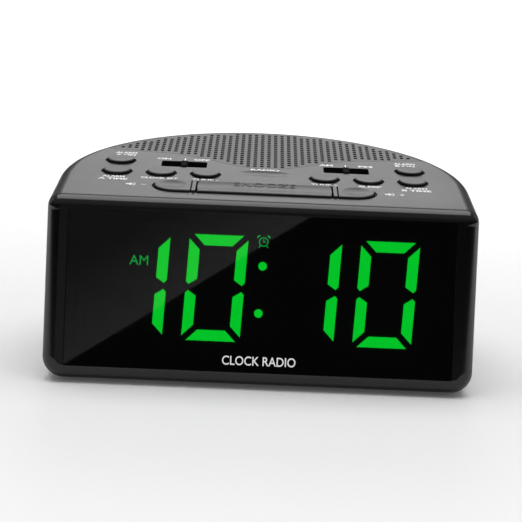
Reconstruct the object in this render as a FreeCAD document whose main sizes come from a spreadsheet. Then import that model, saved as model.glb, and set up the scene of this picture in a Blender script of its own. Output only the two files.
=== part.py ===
import FreeCAD, Part
import math
import os
import re
import Sketcher

from FreeCAD import Placement, Rotation, Vector

# Clock radio: a D-shaped table case with a leaning display window, a sloping control deck with
# spring-back keys and slide switches, an upward-facing loudspeaker under a perforated grille, and
# a base cover with a hinged battery door.
#
# Row frame: X to the right, Y to the back, Z up. The origin is the centre of the footprint, on
# the surface the feet stand on. Two more frames share the sharp corner where the front plane
# meets the deck plane: "deck" (y runs back up the slope, z out of the deck) and "face"
# (y runs up the front, z out of the front).

doc = FreeCAD.newDocument("clock_radio")
sheet = doc.addObject("Spreadsheet::Sheet", "Sizes")

SIZES = [
    # case
    ("case_width", 141.2),
    ("case_depth", 111.0),
    ("corner_height", 59.5),        # front-top corner above the underside
    ("face_lean", 9.0),             # degrees back from upright
    ("deck_slope", 6.7),            # degrees down towards the front
    ("foot_height", 1.0),
    ("wall", 2.2),
    ("top_roll", 4.5),
    ("base_roll", 7.0),
    ("face_roll", 4.4),
    ("bezel_depth", 2.2),
    ("seam", 0.15),
    ("rim_gap", 0.05),
    ("rim_thickness", 1.0),
    ("rim_length", 4.0),
    ("base_split", 9.0),            # height of the joint between cabinet and base cover
    # window and digits
    ("window_width", 126.9),
    ("window_height", 51.6),
    ("window_top", 3.73),           # from the corner down the front
    ("window_corner", 0.6),
    ("lens_recess", 1.0),
    ("lens_thickness", 1.8),
    ("lens_overlap", 1.0),
    ("lens_gap", 0.1),
    ("digit_height", 34.8),
    ("digit_width", 19.2),
    ("digit_pitch", 25.5),
    ("digit_centre", 15.35),        # first digit's centre from the middle of all four
    ("digit_drop", 28.2),           # digits' mid-height from the corner down the front
    ("digit_slant", 2.8),           # degrees
    ("stroke", 3.55),
    ("stroke_gap", 1.5),            # from a digit's corner to the end of each stroke
    ("stroke_waist", 1.0),          # from a digit's mid-height to the tips beside it
    ("digit_shift", 0.3),           # the four digits to the right of the window's middle
    ("colon_radius", 1.4),
    ("colon_spacing", 15.5),
    ("segment_thickness", 0.4),
    ("module_width", 116.0),
    ("module_height", 44.0),
    ("module_gap", 0.4),            # between the lens and the digits
    ("module_thickness", 9.4),
    ("display_board_width", 129.0),
    ("display_board_height", 47.0),
    ("board_thickness", 1.3),
    ("rail_width", 6.0),
    ("rail_depth", 3.0),
    ("rail_top", 6.0),              # from the corner down the front
    ("rail_length", 40.0),
    ("rail_screw_inset", 1.7),
    ("rail_screw_end", 3.0),
    # keys
    ("key_radius", 4.65),
    ("key_rise", 0.9),
    ("key_edge", 0.45),
    ("key_gap", 0.3),
    ("key_well_radius", 5.45),
    ("key_well_depth", 0.6),
    ("key_side_inset", 19.6),       # outer key column from the side of the case
    ("key_pitch", 15.25),
    ("key_row", 33.9),
    ("key_row_pitch", 14.7),
    ("key_lip", 0.9),
    ("key_flange", 1.0),
    ("key_stop_gap", 0.3),
    ("key_stem", 1.1),
    ("stem_radius", 1.6),
    ("bar_row", 17.2),
    ("bar_half_length", 37.0),
    ("bar_half_depth", 6.8),
    ("bar_rise", 0.7),
    ("bar_well", 0.8),
    ("bar_edge", 0.5),
    ("bar_trough_radius", 34.0),
    ("bar_trough_depth", 0.35),
    ("scoop_radius", 26.0),
    ("scoop_depth", 0.42),
    ("rib_inner", 23.0),
    ("rib_width", 1.2),
    ("rib_gap", 0.5),
    # slide switches
    ("slot_length", 16.0),
    ("slot_width", 7.9),
    ("slot_corner", 0.8),
    ("slot_row", 46.6),
    ("slot_inset", 22.5),           # from the outer key column
    ("nub_length", 7.3),
    ("nub_width", 2.35),
    ("nub_rise", 0.5),
    ("slide_travel", 4.0),
    ("slide_plate_margin", 0.4),
    ("slide_plate", 1.4),
    ("slide_stem_width", 1.8),
    ("slide_stem_length", 2.6),
    ("slide_stem_reach", 2.6),
    ("slide_body_length", 15.0),
    ("slide_body_width", 6.5),
    ("slide_body_wall", 0.8),
    # tact switches and the key board
    ("plunger_rise", 0.8),
    ("plunger_sink", 1.0),
    ("switch_size", 6.0),
    ("switch_height", 3.5),
    ("switch_bore", 1.95),
    ("switch_bore_depth", 2.0),
    ("key_board_margin", 4.5),      # board's side edges outside the outer key columns
    ("key_board_front", 13.5),
    ("key_board_back", 54.5),
    ("key_post_radius", 2.5),
    ("key_post_front", 16.5),
    ("key_post_back", 41.2),
    ("key_post_inset", 6.5),        # from the outer key column
    # speaker and grille
    ("speaker_setback", 29.0),      # speaker axis in front of the back of the case
    ("speaker_radius", 25.0),
    ("speaker_opening", 22.0),
    ("speaker_post_angle", 20.0),   # degrees from the speaker's crosswise diameter
    ("speaker_screw_length", 2.4),
    ("speaker_flange", 1.2),
    ("speaker_depth", 10.0),
    ("speaker_throat", 13.5),
    ("basket_wall", 0.8),
    ("magnet_radius", 14.0),
    ("magnet_height", 8.0),
    ("cone_wall", 0.5),
    ("cone_gap", 1.0),
    ("cap_radius", 8.0),
    ("grille_margin", 5.0),
    ("grille_thickness", 1.5),
    ("grille_gap", 0.25),
    ("baffle_thickness", 1.8),
    ("baffle_border", 2.5),
    ("grille_dip", 44.3),
    ("grille_rise", 12.0),
    ("grille_reach", 34.0),
    ("grille_slope", 0.18),
    ("grille_flat", 6.0),
    ("sound_hole_width", 1.25),
    ("sound_hole_length", 1.9),
    ("sound_hole_pitch", 2.42),
    ("sound_hole_row", 2.9),
    ("sound_hole_border", 0.8),
    ("dish_length", 14.0),
    ("dish_width", 5.5),
    ("dish_radius", 1.6),
    ("dish_lift", 1.2),
    ("dish_row", 38.0),
    # boards, sockets and cells in the base
    ("board_height", 8.0),
    ("main_board_width", 76.0),
    ("main_board_front", -12.0),
    ("main_board_setback", 10.5),   # in front of the back of the case
    ("main_board_clip", 16.0),
    ("post_radius", 3.0),
    ("post_inset", 5.0),
    ("jack_width", 9.0),
    ("jack_height", 11.0),
    ("jack_length", 12.0),
    ("jack_nose_radius", 3.9),
    ("jack_nose_setback", 0.6),
    ("jack_bore", 3.0),
    ("jack_bore_depth", 9.6),
    ("jack_pin_radius", 1.0),
    ("jack_pin_setback", 1.2),
    ("jack_hole_gap", 0.2),
    ("cell_radius", 5.2),
    ("cell_length", 43.5),
    ("cell_tip_radius", 1.9),
    ("cell_tip", 0.9),
    ("cell_gap", 0.25),
    ("contact_space", 1.9),
    ("cell_centre", -25.0),
    ("compartment_wall", 1.2),
    ("door_thickness", 1.8),
    ("door_gap", 0.3),
    ("door_ledge", 1.2),
    ("door_pin_radius", 0.7),
    ("door_pin_length", 1.0),
    ("door_pin_gap", 0.06),
    ("finger_notch_radius", 5.0),
    ("foot_radius", 5.0),
    ("foot_seat", 0.6),
    ("foot_column", 50.0),
    ("foot_front", -40.0),
    ("foot_back_column", 29.0),
    ("foot_back", 31.0),
    # electronics
    ("chip_long", 14.0),
    ("chip_short", 9.0),
    ("chip_height", 1.8),
    ("capacitor_radius", 3.0),
    ("capacitor_height", 11.0),
    ("crystal_length", 10.0),
    ("crystal_width", 4.0),
    ("crystal_height", 3.5),
    ("ferrite_radius", 4.0),
    ("ferrite_length", 50.0),
    ("coil_length", 20.0),
    ("coil_thickness", 0.8),
    ("holder_width", 4.0),
    ("antenna_row", -4.0),
    ("antenna_lift", 12.0),
    ("ribbon_width", 22.0),
    ("ribbon_thickness", 0.8),
    # fasteners
    ("pillar_radius", 4.5),
    ("pillar_top", 12.0),
    ("boss_radius", 3.5),
    ("screw_radius", 1.5),
    ("screw_head_radius", 2.8),
    ("screw_head", 2.0),
    ("screw_head_depth", 6.0),
    ("screw_length", 16.0),
    ("screw_gap", 0.2),
    ("drive_radius", 0.9),
    ("drive_depth", 1.0),
    ("small_screw_radius", 1.0),
    ("small_head_radius", 2.0),
    ("small_head", 1.2),
    ("small_screw_length", 4.0),
    ("front_boss_inset", 9.6),      # from the side of the case
    ("front_boss_row", -28.0),
    ("back_boss_inset", 26.6),      # from the side of the case
    ("back_boss_row", 26.0),
]

# Places worked out from the sizes above.
PLACES = {
    "face_foot": "-case_depth/2 - face_roll*(tan(face_lean) + 1/cos(face_lean) - 1)",
    "corner_y": "face_foot + corner_height*tan(face_lean)",
    "corner_z": "foot_height + corner_height",
    "back": "case_depth/2",
    "arc_y": "case_depth/2 - case_width/2",
    "arc_row": "(arc_y - corner_y)/cos(deck_slope)",
    "back_row": "(back - corner_y)/cos(deck_slope)",
    "lens_back": "-lens_recess - lens_thickness",
    "module_front": "lens_back - module_gap - segment_thickness",
    "module_back": "module_front - module_thickness",
    "display_board_back": "module_back - board_thickness",
    "window_middle": "window_top + window_height/2",
    "outer_column": "case_width/2 - key_side_inset",
    "middle_column": "outer_column - key_pitch",
    "inner_column": "middle_column - key_pitch",
    "slot_column": "outer_column - slot_inset",
    "key_post_column": "outer_column - key_post_inset",
    "key_board_width": "2*(outer_column + key_board_margin)",
    "front_boss_column": "case_width/2 - front_boss_inset",
    "back_boss_column": "case_width/2 - back_boss_inset",
    "main_board_back": "back - main_board_setback",
    "flange_top": "-wall - key_stop_gap",
    "flange_base": "flange_top - key_flange",
    "plunger_top": "flange_base - key_stem",
    "switch_top": "plunger_top - plunger_rise",
    "key_board_top": "switch_top - switch_height",
    "key_board_base": "key_board_top - board_thickness",
    "speaker_row": "back_row - speaker_setback",
    "baffle_top": "-grille_thickness - 0.1",
    "baffle_base": "baffle_top - baffle_thickness",
    "bar_end": "bar_half_length - bar_half_depth",
    "rib_outer": "rib_inner + rib_width",
    "board_top": "board_height + board_thickness",
    "jack_axis": "board_top + jack_height/2",
    "jack_nose": "back - jack_nose_setback",
    "jack_back": "back - wall - 0.3",
    "cell_height": "foot_height + door_thickness + cell_gap + cell_radius",
    "cell_offset": "cell_radius + cell_gap",
    "cavity_half": "2*cell_radius + 2*cell_gap",
    "cavity_side": "cell_length/2 + contact_space",
    "cavity_top": "cell_height + cell_radius + cell_gap",
    "door_side": "cavity_side + door_ledge",
    "door_half": "cavity_half + door_ledge",
    "door_axis": "foot_height + door_thickness/2",
    "pillar_seat": "foot_height + screw_head_depth",
}

for row, (alias, size) in enumerate(SIZES, 1):
    sheet.set(f"A{row}", alias)
    sheet.set(f"B{row}", str(size))
    sheet.setAlias(f"B{row}", alias)
doc.recompute()

SIZE_NAMES = {alias for alias, _ in SIZES}
FRAMES = {
    "row": ("0", "0", "0"),
    "deck": ("corner_y", "corner_z", "deck_slope"),
    "face": ("corner_y", "corner_z", "90 - face_lean"),
}
X_AXIS = Vector(1, 0, 0)
Y_AXIS = Vector(0, 1, 0)
BIG = "case_width + case_depth"


def expand(text):
    """Turn names of sizes and places into references to the sheet's cells."""
    def swap(match):
        word = match.group(0)
        if word in SIZE_NAMES:
            return "Sizes." + word
        if word in PLACES:
            return "(" + expand(PLACES[word]) + ")"
        return word
    return re.sub(r"[a-z_]+", swap, text)


def value(text):
    """The number that an expression has now."""
    return float(sheet.evalExpression(expand(text)))


def bind(obj, prop, text):
    obj.setExpression(prop, expand(text))


def place(obj, frame="row", x="0", y="0", z="0"):
    """Put an object at x, y, z of a frame, turned with the frame."""
    origin_y, origin_z, angle = FRAMES[frame]
    if frame != "row":
        obj.Placement = Placement(Vector(), Rotation(X_AXIS, 45))
        bind(obj, "Placement.Rotation.Angle", angle)
    bind(obj, "Placement.Base.x", x)
    bind(obj, "Placement.Base.y", f"{origin_y} + ({y})*cos({angle}) - ({z})*sin({angle})")
    bind(obj, "Placement.Base.z", f"{origin_z} + ({y})*sin({angle}) + ({z})*cos({angle})")
    return obj


# ---------------------------------------------------------------- building blocks

def box(name, frame, across, along, up):
    """A box between two values on each axis of a frame."""
    obj = doc.addObject("Part::Box", name)
    for prop, (low, high) in zip(("Length", "Width", "Height"), (across, along, up)):
        bind(obj, prop, f"({high}) - ({low})")
    return place(obj, frame, across[0], along[0], up[0])


def span(centre, size):
    return f"({centre}) - ({size})/2", f"({centre}) + ({size})/2"


def cylinder_along(name, axis, radius, length, x, y, z):
    """A cylinder in the row frame that starts at a point and runs along X or Y."""
    obj = doc.addObject("Part::Cylinder", name)
    bind(obj, "Radius", radius)
    bind(obj, "Height", length)
    obj.Placement = Placement(Vector(), Rotation(Vector(0, 0, 1), axis))
    for axis, text in zip("xyz", (x, y, z)):
        bind(obj, f"Placement.Base.{axis}", text)
    return obj


def fuse(name, *parts):
    obj = doc.addObject("Part::MultiFuse", name)
    obj.Shapes = list(parts)
    obj.Refine = True
    return obj


def cut(name, base, *tools):
    obj = doc.addObject("Part::Cut", name)
    obj.Base = base
    obj.Tool = tools[0] if len(tools) == 1 else fuse(name + "_tools", *tools)
    return obj


def common(name, first, second):
    obj = doc.addObject("Part::Common", name)
    obj.Base = first
    obj.Tool = second
    return obj


def group(name, parts):
    obj = doc.addObject("Part::Compound", name)
    obj.Links = list(parts)
    return obj


def new_body(label):
    return doc.addObject("PartDesign::Body", label)


def sketch_on(body, role):
    plane = next(item for item in body.Origin.OriginFeatures if item.Role == role)
    sketch = body.newObject("Sketcher::SketchObject", body.Name + "_sketch")
    sketch.AttachmentSupport = (plane, [""])
    sketch.MapMode = "FlatFace"
    return sketch


def fix_point(sketch, geo, end, x, y):
    """Hold a point at x, y from the sketch's origin."""
    for kind, text, axis in (("DistanceX", x, -2), ("DistanceY", y, -1)):
        if text == "0":
            sketch.addConstraint(Sketcher.Constraint("PointOnObject", geo, end, axis))
        else:
            index = sketch.addConstraint(Sketcher.Constraint(kind, -1, 1, geo, end, value(text)))
            bind(sketch, f"Constraints[{index}]", text)


def join(sketch, first, second):
    """Join the end of one edge to the start of another."""
    sketch.addConstraint(Sketcher.Constraint("Coincident", first, 2, second, 1))


def polygon(sketch, corners):
    """A closed outline of straight edges, each corner held by two distances."""
    points = [Vector(value(x), value(y), 0) for x, y in corners]
    first = sketch.GeometryCount
    for start, end in zip(points, points[1:] + points[:1]):
        sketch.addGeometry(Part.LineSegment(start, end))
    count = len(points)
    for index, (x, y) in enumerate(corners):
        join(sketch, first + (index - 1) % count, first + index)
        fix_point(sketch, first + index, 1, x, y)


def arc(sketch, centre, radius, start, end):
    circle = Part.Circle(Vector(value(centre[0]), value(centre[1]), 0), Vector(0, 0, 1), value(radius))
    return sketch.addGeometry(Part.ArcOfCircle(circle, math.radians(start), math.radians(end)))


def line(sketch, start, end):
    points = [Vector(value(x), value(y), 0) for x, y in (start, end)]
    return sketch.addGeometry(Part.LineSegment(*points))


def pad(body, sketch, length, both_ways=False):
    feature = body.newObject("PartDesign::Pad", body.Name + "_pad")
    feature.Profile = sketch
    bind(feature, "Length", length)
    feature.Midplane = both_ways
    return feature


def fillet(body, pick, radius):
    """Round the edges of a body's last feature that a test picks."""
    doc.recompute()
    tip = body.Tip
    names = [f"Edge{n}" for n, edge in enumerate(tip.Shape.Edges, 1) if pick(edge)]
    feature = body.newObject("PartDesign::Fillet", body.Name + "_fillet")
    feature.Base = (tip, names)
    bind(feature, "Radius", radius)
    return feature


def upright(edge):
    start, end = edge.Vertexes[0].Point, edge.Vertexes[-1].Point
    return math.hypot(end.x - start.x, end.y - start.y) < 1e-6 < abs(end.z - start.z)


def at_height(text):
    """A test for edges that lie wholly at one height of the body's own frame."""
    level = value(text)
    return lambda edge: max(abs(p.z - level) for p in edge.discretize(5)) < 1e-4


def plate(label, frame, corners, low, high, corner_radius=None, edge_radius=None):
    """A flat piece with a straight-sided outline, at low to high along the frame's z."""
    body = new_body(label)
    sketch = sketch_on(body, "XY_Plane")
    polygon(sketch, corners)
    pad(body, sketch, f"({high}) - ({low})")
    if corner_radius:
        fillet(body, upright, corner_radius)
    if edge_radius:
        fillet(body, at_height(f"({high}) - ({low})"), edge_radius)
    return place(body, frame, z=low)


def rectangle(across, along):
    (left, right), (front, back) = across, along
    return [(left, front), (right, front), (right, back), (left, back)]


def turned(label, profile, frame="row", x="0", y="0", z="0"):
    """A piece of revolution about the frame's z, from (radius, height) corners."""
    body = new_body(label)
    sketch = sketch_on(body, "XZ_Plane")
    polygon(sketch, profile)
    feature = body.newObject("PartDesign::Revolution", body.Name + "_turn")
    feature.Profile = sketch
    feature.ReferenceAxis = (sketch, ["V_Axis"])
    return place(body, frame, x, y, z)


def rod(label, radius, low, high, frame="row", x="0", y="0"):
    """An upright cylinder."""
    height = f"({high}) - ({low})"
    profile = [("0", "0"), (radius, "0"), (radius, height), ("0", height)]
    return turned(label, profile, frame, x, y, low)


def stadium(label, radius, low, high, edge_radius=None):
    """A long plate with round ends, on the deck, centred on the row of the bar keys."""
    body = new_body(label)
    sketch = sketch_on(body, "XY_Plane")
    back = line(sketch, ("bar_end", radius), ("-bar_end", radius))
    left = arc(sketch, ("-bar_end", "0"), radius, 90, 270)
    front = line(sketch, ("-bar_end", f"-({radius})"), ("bar_end", f"-({radius})"))
    right = arc(sketch, ("bar_end", "0"), radius, -90, 90)
    for first, second in ((back, left), (left, front), (front, right), (right, back)):
        join(sketch, first, second)
    fix_point(sketch, back, 1, "bar_end", radius)
    fix_point(sketch, back, 2, "-bar_end", radius)
    fix_point(sketch, front, 1, "-bar_end", f"-({radius})")
    fix_point(sketch, front, 2, "bar_end", f"-({radius})")
    for geo, centre in ((left, "-bar_end"), (right, "bar_end")):
        index = sketch.addConstraint(Sketcher.Constraint("DistanceX", -1, 1, geo, 3, value(centre)))
        bind(sketch, f"Constraints[{index}]", centre)
    pad(body, sketch, f"({high}) - ({low})")
    if edge_radius:
        fillet(body, at_height(f"({high}) - ({low})"), edge_radius)
    return place(body, "deck", "0", "bar_row", low)


# ---------------------------------------------------------------- case solids

def case_solid(label, inset, face_inset, rolled_face):
    """The case's outside, moved inwards by inset (and by face_inset at the front)."""
    body = new_body(label)
    profile = sketch_on(body, "YZ_Plane")
    sink = f"(({face_inset})/cos(face_lean) - ({inset})*tan(face_lean)/cos(deck_slope))"
    top_y = f"{sink}/(1 - tan(deck_slope)*tan(face_lean))"
    rear = f"back + {BIG}"
    base_z = f"foot_height + ({inset})"
    polygon(profile, [
        (f"face_foot + ({inset})*tan(face_lean) + ({face_inset})/cos(face_lean)", base_z),
        (rear, base_z),
        (rear, f"corner_z + (({rear}) - corner_y)*tan(deck_slope) - ({inset})/cos(deck_slope)"),
        (f"corner_y + {top_y}", f"corner_z + {top_y}*tan(deck_slope) - ({inset})/cos(deck_slope)"),
    ])
    pad(body, profile, f"2*({BIG})", both_ways=True)

    plan = sketch_on(body, "XY_Plane")
    polygon(plan, rectangle((f"-2*({BIG})", f"2*({BIG})"), (f"-3*({BIG})", f"3*({BIG})")))
    half, front = f"case_width/2 - ({inset})", f"-2*({BIG})"
    edge_front = line(plan, (f"-({half})", front), (half, front))
    edge_right = line(plan, (half, front), (half, "arc_y"))
    round_back = arc(plan, ("0", "arc_y"), half, 0, 180)
    edge_left = line(plan, (f"-({half})", "arc_y"), (f"-({half})", front))
    loop = [edge_front, edge_right, round_back, edge_left]
    for first, second in zip(loop, loop[1:] + loop[:1]):
        join(plan, first, second)
    fix_point(plan, edge_front, 1, f"-({half})", front)
    fix_point(plan, edge_right, 1, half, front)
    fix_point(plan, round_back, 1, half, "arc_y")
    fix_point(plan, edge_left, 1, f"-({half})", "arc_y")
    index = plan.addConstraint(Sketcher.Constraint("DistanceY", -1, 1, round_back, 3, value("arc_y")))
    bind(plan, f"Constraints[{index}]", "arc_y")
    pocket = body.newObject("PartDesign::Pocket", body.Name + "_pocket")
    pocket.Profile = plan
    pocket.Type = "ThroughAll"
    pocket.Midplane = True

    lean, slope = math.radians(value("face_lean")), math.radians(value("deck_slope"))
    corner = Vector(0, value("corner_y"), value("corner_z"))
    out_of_face = Vector(0, -math.cos(lean), math.sin(lean))
    out_of_deck = Vector(0, -math.sin(slope), math.cos(slope))

    def on_plane(edge, normal, depth):
        return all(abs((p - corner).dot(normal) + depth) < 1e-3 for p in edge.discretize(7))

    def on_face(edge):
        return on_plane(edge, out_of_face, value(face_inset))

    def on_deck(edge):
        return on_plane(edge, out_of_deck, value(inset)) and not on_face(edge)

    def on_base(edge):
        level = value(base_z)
        return all(abs(p.z - level) < 1e-3 for p in edge.discretize(7)) and not on_face(edge)

    fillet(body, on_deck, f"top_roll - ({inset})")
    fillet(body, on_base, f"base_roll - ({inset})")
    if rolled_face:
        fillet(body, on_face, f"face_roll - ({inset})")
    return body


outer = case_solid("case_outside", "0", "0", True)
inner = case_solid("case_inside", "wall", "bezel_depth", False)
core = case_solid("case_core", "wall/2", "wall/2", False)
rim_outside = case_solid("rim_outside", "wall + rim_gap", "wall/2", False)
rim_inside = case_solid("rim_inside", "wall + rim_gap + rim_thickness", "-wall", False)

everything = (f"-({BIG})", BIG)
shell = cut("case_shell", outer, inner)
rim = cut("case_rim", rim_outside, rim_inside)
EXPORTS = []


def keep(obj, label):
    """Name an object as a piece of the clock radio."""
    obj.Label = label
    EXPORTS.append(obj)
    return obj


# ---------------------------------------------------------------- front bezel and window

def window_box(name, grow, out):
    width, height = f"window_width + 2*({grow})", f"window_height + 2*({grow})"
    corners = rectangle(span("0", width), span("-window_middle", height))
    return plate(name, "face", corners, out[0], out[1], "window_corner")


front_band = box("front_band", "face", everything, everything, ("-bezel_depth", BIG))
skirt_band = box("skirt_band", "face", everything, everything,
                 ("-bezel_depth - rim_length", "-wall/2 - 0.3"))
bezel_ring = common("bezel_ring", shell, front_band)
bezel_skirt = common("bezel_skirt", rim, skirt_band)
keep(cut("front_bezel_cut",
         fuse("front_bezel_solid", bezel_ring, bezel_skirt),
         window_box("window_opening", "0", ("-bezel_depth", "wall")),
         window_box("lens_seat", "lens_overlap + lens_gap", ("-bezel_depth - rim_length", "-lens_recess"))),
     "front_bezel")
keep(window_box("display_window", "lens_overlap", ("lens_back", "-lens_recess")), "display_window")

# ---------------------------------------------------------------- cabinet

KEYS = [
    ("alarm_a_key", "-outer_column", "key_row + key_row_pitch"),
    ("alarm_a_time_key", "-outer_column", "key_row"),
    ("clock_key", "-middle_column", "key_row"),
    ("tune_down_key", "-inner_column", "key_row"),
    ("tune_up_key", "inner_column", "key_row"),
    ("sleep_key", "middle_column", "key_row"),
    ("alarm_b_time_key", "outer_column", "key_row"),
    ("alarm_b_key", "outer_column", "key_row + key_row_pitch"),
]
VOLUME_KEYS = [("volume_down_key", -1), ("volume_up_key", 1)]
SLIDES = [("power_knob", "-slot_column"), ("band_knob", "slot_column")]
VOLUME_COLUMN = "(rib_outer + rib_gap + bar_half_length)/2"
SIDES = (-1, 1)

behind_bezel = box("behind_bezel", "face", everything, everything, (f"-2*({BIG})", "-bezel_depth - seam"))
tub = common("case_tub", shell, behind_bezel)
above_split = box("above_split", "row", everything, everything, ("base_split", BIG))
below_split = box("below_split", "row", everything, everything, ("0", "base_split - seam"))


def corners_of(columns):
    """The same spots on the left and on the right, from (column, row) pairs."""
    return [(f"{side}*({column})", row) for side in SIDES for column, row in columns]


SCREW_SPOTS = corners_of([("front_boss_column", "front_boss_row"),
                          ("back_boss_column", "back_boss_row")])
KEY_POSTS = corners_of([("key_post_column", "key_post_front"), ("key_post_column", "key_post_back")])
POST_ACROSS = "(speaker_radius + key_post_radius)*cos(speaker_post_angle)"
POST_ALONG = "(speaker_radius + key_post_radius)*sin(speaker_post_angle)"
SPEAKER_POSTS = corners_of([(POST_ACROSS, f"speaker_row - {POST_ALONG}"),
                            (POST_ACROSS, f"speaker_row + {POST_ALONG}")])
RAIL_SPAN = ("-rail_top - rail_length", "-rail_top")
RAIL_SCREWS = corners_of([("display_board_width/2 - rail_screw_inset", row) for row in (
    "-rail_top - rail_length + rail_screw_end", "-rail_top - rail_screw_end")])


def wave(x):
    """Front edge of the grille, from the corner up the deck, at x from the middle."""
    reach = value("grille_reach")
    swell = (1 - math.cos(math.pi * min(abs(x), reach) / reach)) / 2
    flat = value("grille_flat")
    drift = value("grille_slope") * (math.hypot(x, flat) - flat)
    return value("grille_dip") + value("grille_rise") * swell + drift


def grille_face(grow):
    """The grille's outline on the deck: the back arc and the front wave, moved out by grow."""
    radius = value("case_width/2 - grille_margin") + grow
    centre = value("arc_row")
    low, high = 0.0, radius
    while high - low > 1e-6:
        middle = (low + high) / 2
        inside = math.hypot(middle, wave(middle) - grow - centre) < radius
        low, high = (middle, high) if inside else (low, middle)
    steps = 32
    points = [Vector(low * (2 * n / steps - 1), wave(low * (2 * n / steps - 1)) - grow, 0)
              for n in range(steps + 1)]
    front = Part.BSplineCurve()
    front.interpolate(points)
    back = Part.Arc(points[-1], Vector(0, centre + radius, 0), points[0])
    return Part.Face(Part.Wire([front.toShape(), back.toShape()]))


def grille_slab(name, grow, low, high):
    """A slab of the grille's outline between two depths of the deck."""
    slab = grille_face(grow)
    slab.translate(Vector(0, 0, value(low)))
    obj = doc.addObject("Part::Feature", name)
    obj.Shape = slab.extrude(Vector(0, 0, value(high) - value(low)))
    return place(obj, "deck")


def sound_holes():
    """The panel's rectangular holes, in columns that fill the outline."""
    radius = value("case_width/2 - grille_margin - sound_hole_border")
    half_width, half_length = value("sound_hole_width/2"), value("sound_hole_length/2")
    pitch, row_pitch = value("sound_hole_pitch"), value("sound_hole_row")
    centre, thickness = value("arc_row"), value("grille_thickness")
    holes = []
    columns = int(radius / pitch)
    rows = int(radius / row_pitch) + 1
    for column in range(-columns, columns):
        x = (column + 0.5) * pitch
        for row in range(-rows, rows):
            y = centre + (row + 0.5) * row_pitch
            near = max(wave(x - half_width), wave(x + half_width)) + value("sound_hole_border")
            far = math.hypot(abs(x) + half_width, y + half_length - centre)
            if y - half_length > near and far < radius:
                corner = Vector(x - half_width, y - half_length, -2 * thickness)
                holes.append(Part.makeBox(2 * half_width, 2 * half_length, 3 * thickness, corner))
    return holes


def grille_panel():
    """The perforated panel: the outline less its holes, pushed up to the panel's thickness."""
    outline = grille_face(0)
    outline.translate(Vector(0, 0, value("-grille_thickness")))
    wires = [outline.OuterWire]
    for hole in sound_holes():
        spot = hole.BoundBox
        level = value("-grille_thickness")
        corners = [Vector(x, y, level) for x, y in ((spot.XMin, spot.YMin), (spot.XMax, spot.YMin),
                                                    (spot.XMax, spot.YMax), (spot.XMin, spot.YMax))]
        wires.append(Part.makePolygon(corners + corners[:1]))
    face = Part.makeFace(wires, "Part::FaceMakerBullseye")
    obj = doc.addObject("Part::Feature", "speaker_grille")
    obj.Shape = face.extrude(Vector(0, 0, value("grille_thickness")))
    return place(obj, "deck")


keep(grille_panel(), "speaker_grille")


def each(spots, make):
    """Make the same thing at each of several spots."""
    return [make(number, x, y) for number, (x, y) in enumerate(spots)]


# Solids added inside the shell, all trimmed to the case so that they end inside its walls.
insides = [grille_slab("baffle", value("baffle_border"), "baffle_base", "baffle_top + 0.5")]
insides += each(SCREW_SPOTS, lambda n, x, y: rod(
    f"boss_{n}", "boss_radius", "pillar_top", BIG, x=x, y=y))
insides += each(KEY_POSTS, lambda n, x, y: rod(
    f"key_post_{n}", "key_post_radius", "key_board_top", "0", "deck", x, y))
insides += each(SPEAKER_POSTS, lambda n, x, y: rod(
    f"speaker_post_{n}", "key_post_radius", "baffle_base - speaker_flange", "baffle_top", "deck", x, y))
for side, across in ((-1, ("-case_width/2", "rail_width - display_board_width/2")),
                     (1, ("display_board_width/2 - rail_width", "case_width/2"))):
    insides.append(box(f"display_rail_{side + 1}", "face", across, RAIL_SPAN,
                       ("display_board_back - rail_depth", "display_board_back")))
trimmed_insides = common("cabinet_insides", fuse("insides", *insides), core)

through = ("2*baffle_base", "key_rise + wall")
SLIDE_PLATE_HALF = "(slot_length/2 + slide_travel + slide_plate_margin)"


def key_hole(name, x, y):
    """The stepped hole of a round key: a shallow well round a through hole."""
    low, high = through
    well, hole = "key_well_radius", "key_radius + key_gap"
    step = f"-({low}) - key_well_depth"
    top = f"({high}) - ({low})"
    profile = [("0", "0"), (hole, "0"), (hole, step), (well, step), (well, top), ("0", top)]
    return turned(name, profile, "deck", x, y, low)


def slot_cutter(name, x):
    corners = rectangle(span(x, "slot_length"), span("slot_row", "slot_width"))
    return plate(name, "deck", corners, through[0], through[1], "slot_corner")


def slide_run(name, x):
    """Room under the deck for a slide knob's plate, over its whole travel."""
    return box(f"{name}_run", "deck", span(x, f"2*({SLIDE_PLATE_HALF} + slide_travel + slide_plate_margin)"),
               span("slot_row", "slot_width + 2*key_lip + 2*slide_plate_margin"),
               (through[0], "flange_top + slide_plate_margin/4"))


def finger_dish():
    """A shallow oval dip between the bar and the grille."""
    dish = doc.addObject("Part::Ellipsoid", "finger_dish")
    bind(dish, "Radius1", "dish_radius")
    bind(dish, "Radius2", "dish_length")
    bind(dish, "Radius3", "dish_width")
    return place(dish, "deck", "0", "dish_row", "dish_lift")


cutters = [
    grille_slab("grille_seat", value("grille_gap"), "-grille_thickness - 0.1", "wall"),
    rod("speaker_hole", "speaker_opening", "2*baffle_base", "0", "deck", y="speaker_row"),
    stadium("bar_well", "bar_half_depth + bar_well", "-key_well_depth", "wall"),
    stadium("bar_hole", "bar_half_depth + key_gap", "2*baffle_base", "0"),
    finger_dish(),
    cylinder_along("jack_hole", Y_AXIS, "jack_nose_radius + jack_hole_gap", "3*wall",
                   "0", "back - 2*wall", "jack_axis"),
]
cutters += [key_hole(f"{name}_hole", x, y) for name, x, y in KEYS]
cutters += [slot_cutter(f"{name}_slot", x) for name, x in SLIDES]
cutters += [slide_run(name, x) for name, x in SLIDES]
cutters += each(SCREW_SPOTS, lambda n, x, y: rod(
    f"boss_pilot_{n}", "screw_radius", "0", "pillar_seat + screw_length + 1", x=x, y=y))
cutters += each(KEY_POSTS, lambda n, x, y: rod(
    f"key_pilot_{n}", "small_screw_radius", "key_board_base - 1",
    "key_board_base + small_screw_length + 0.5", "deck", x, y))
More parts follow.
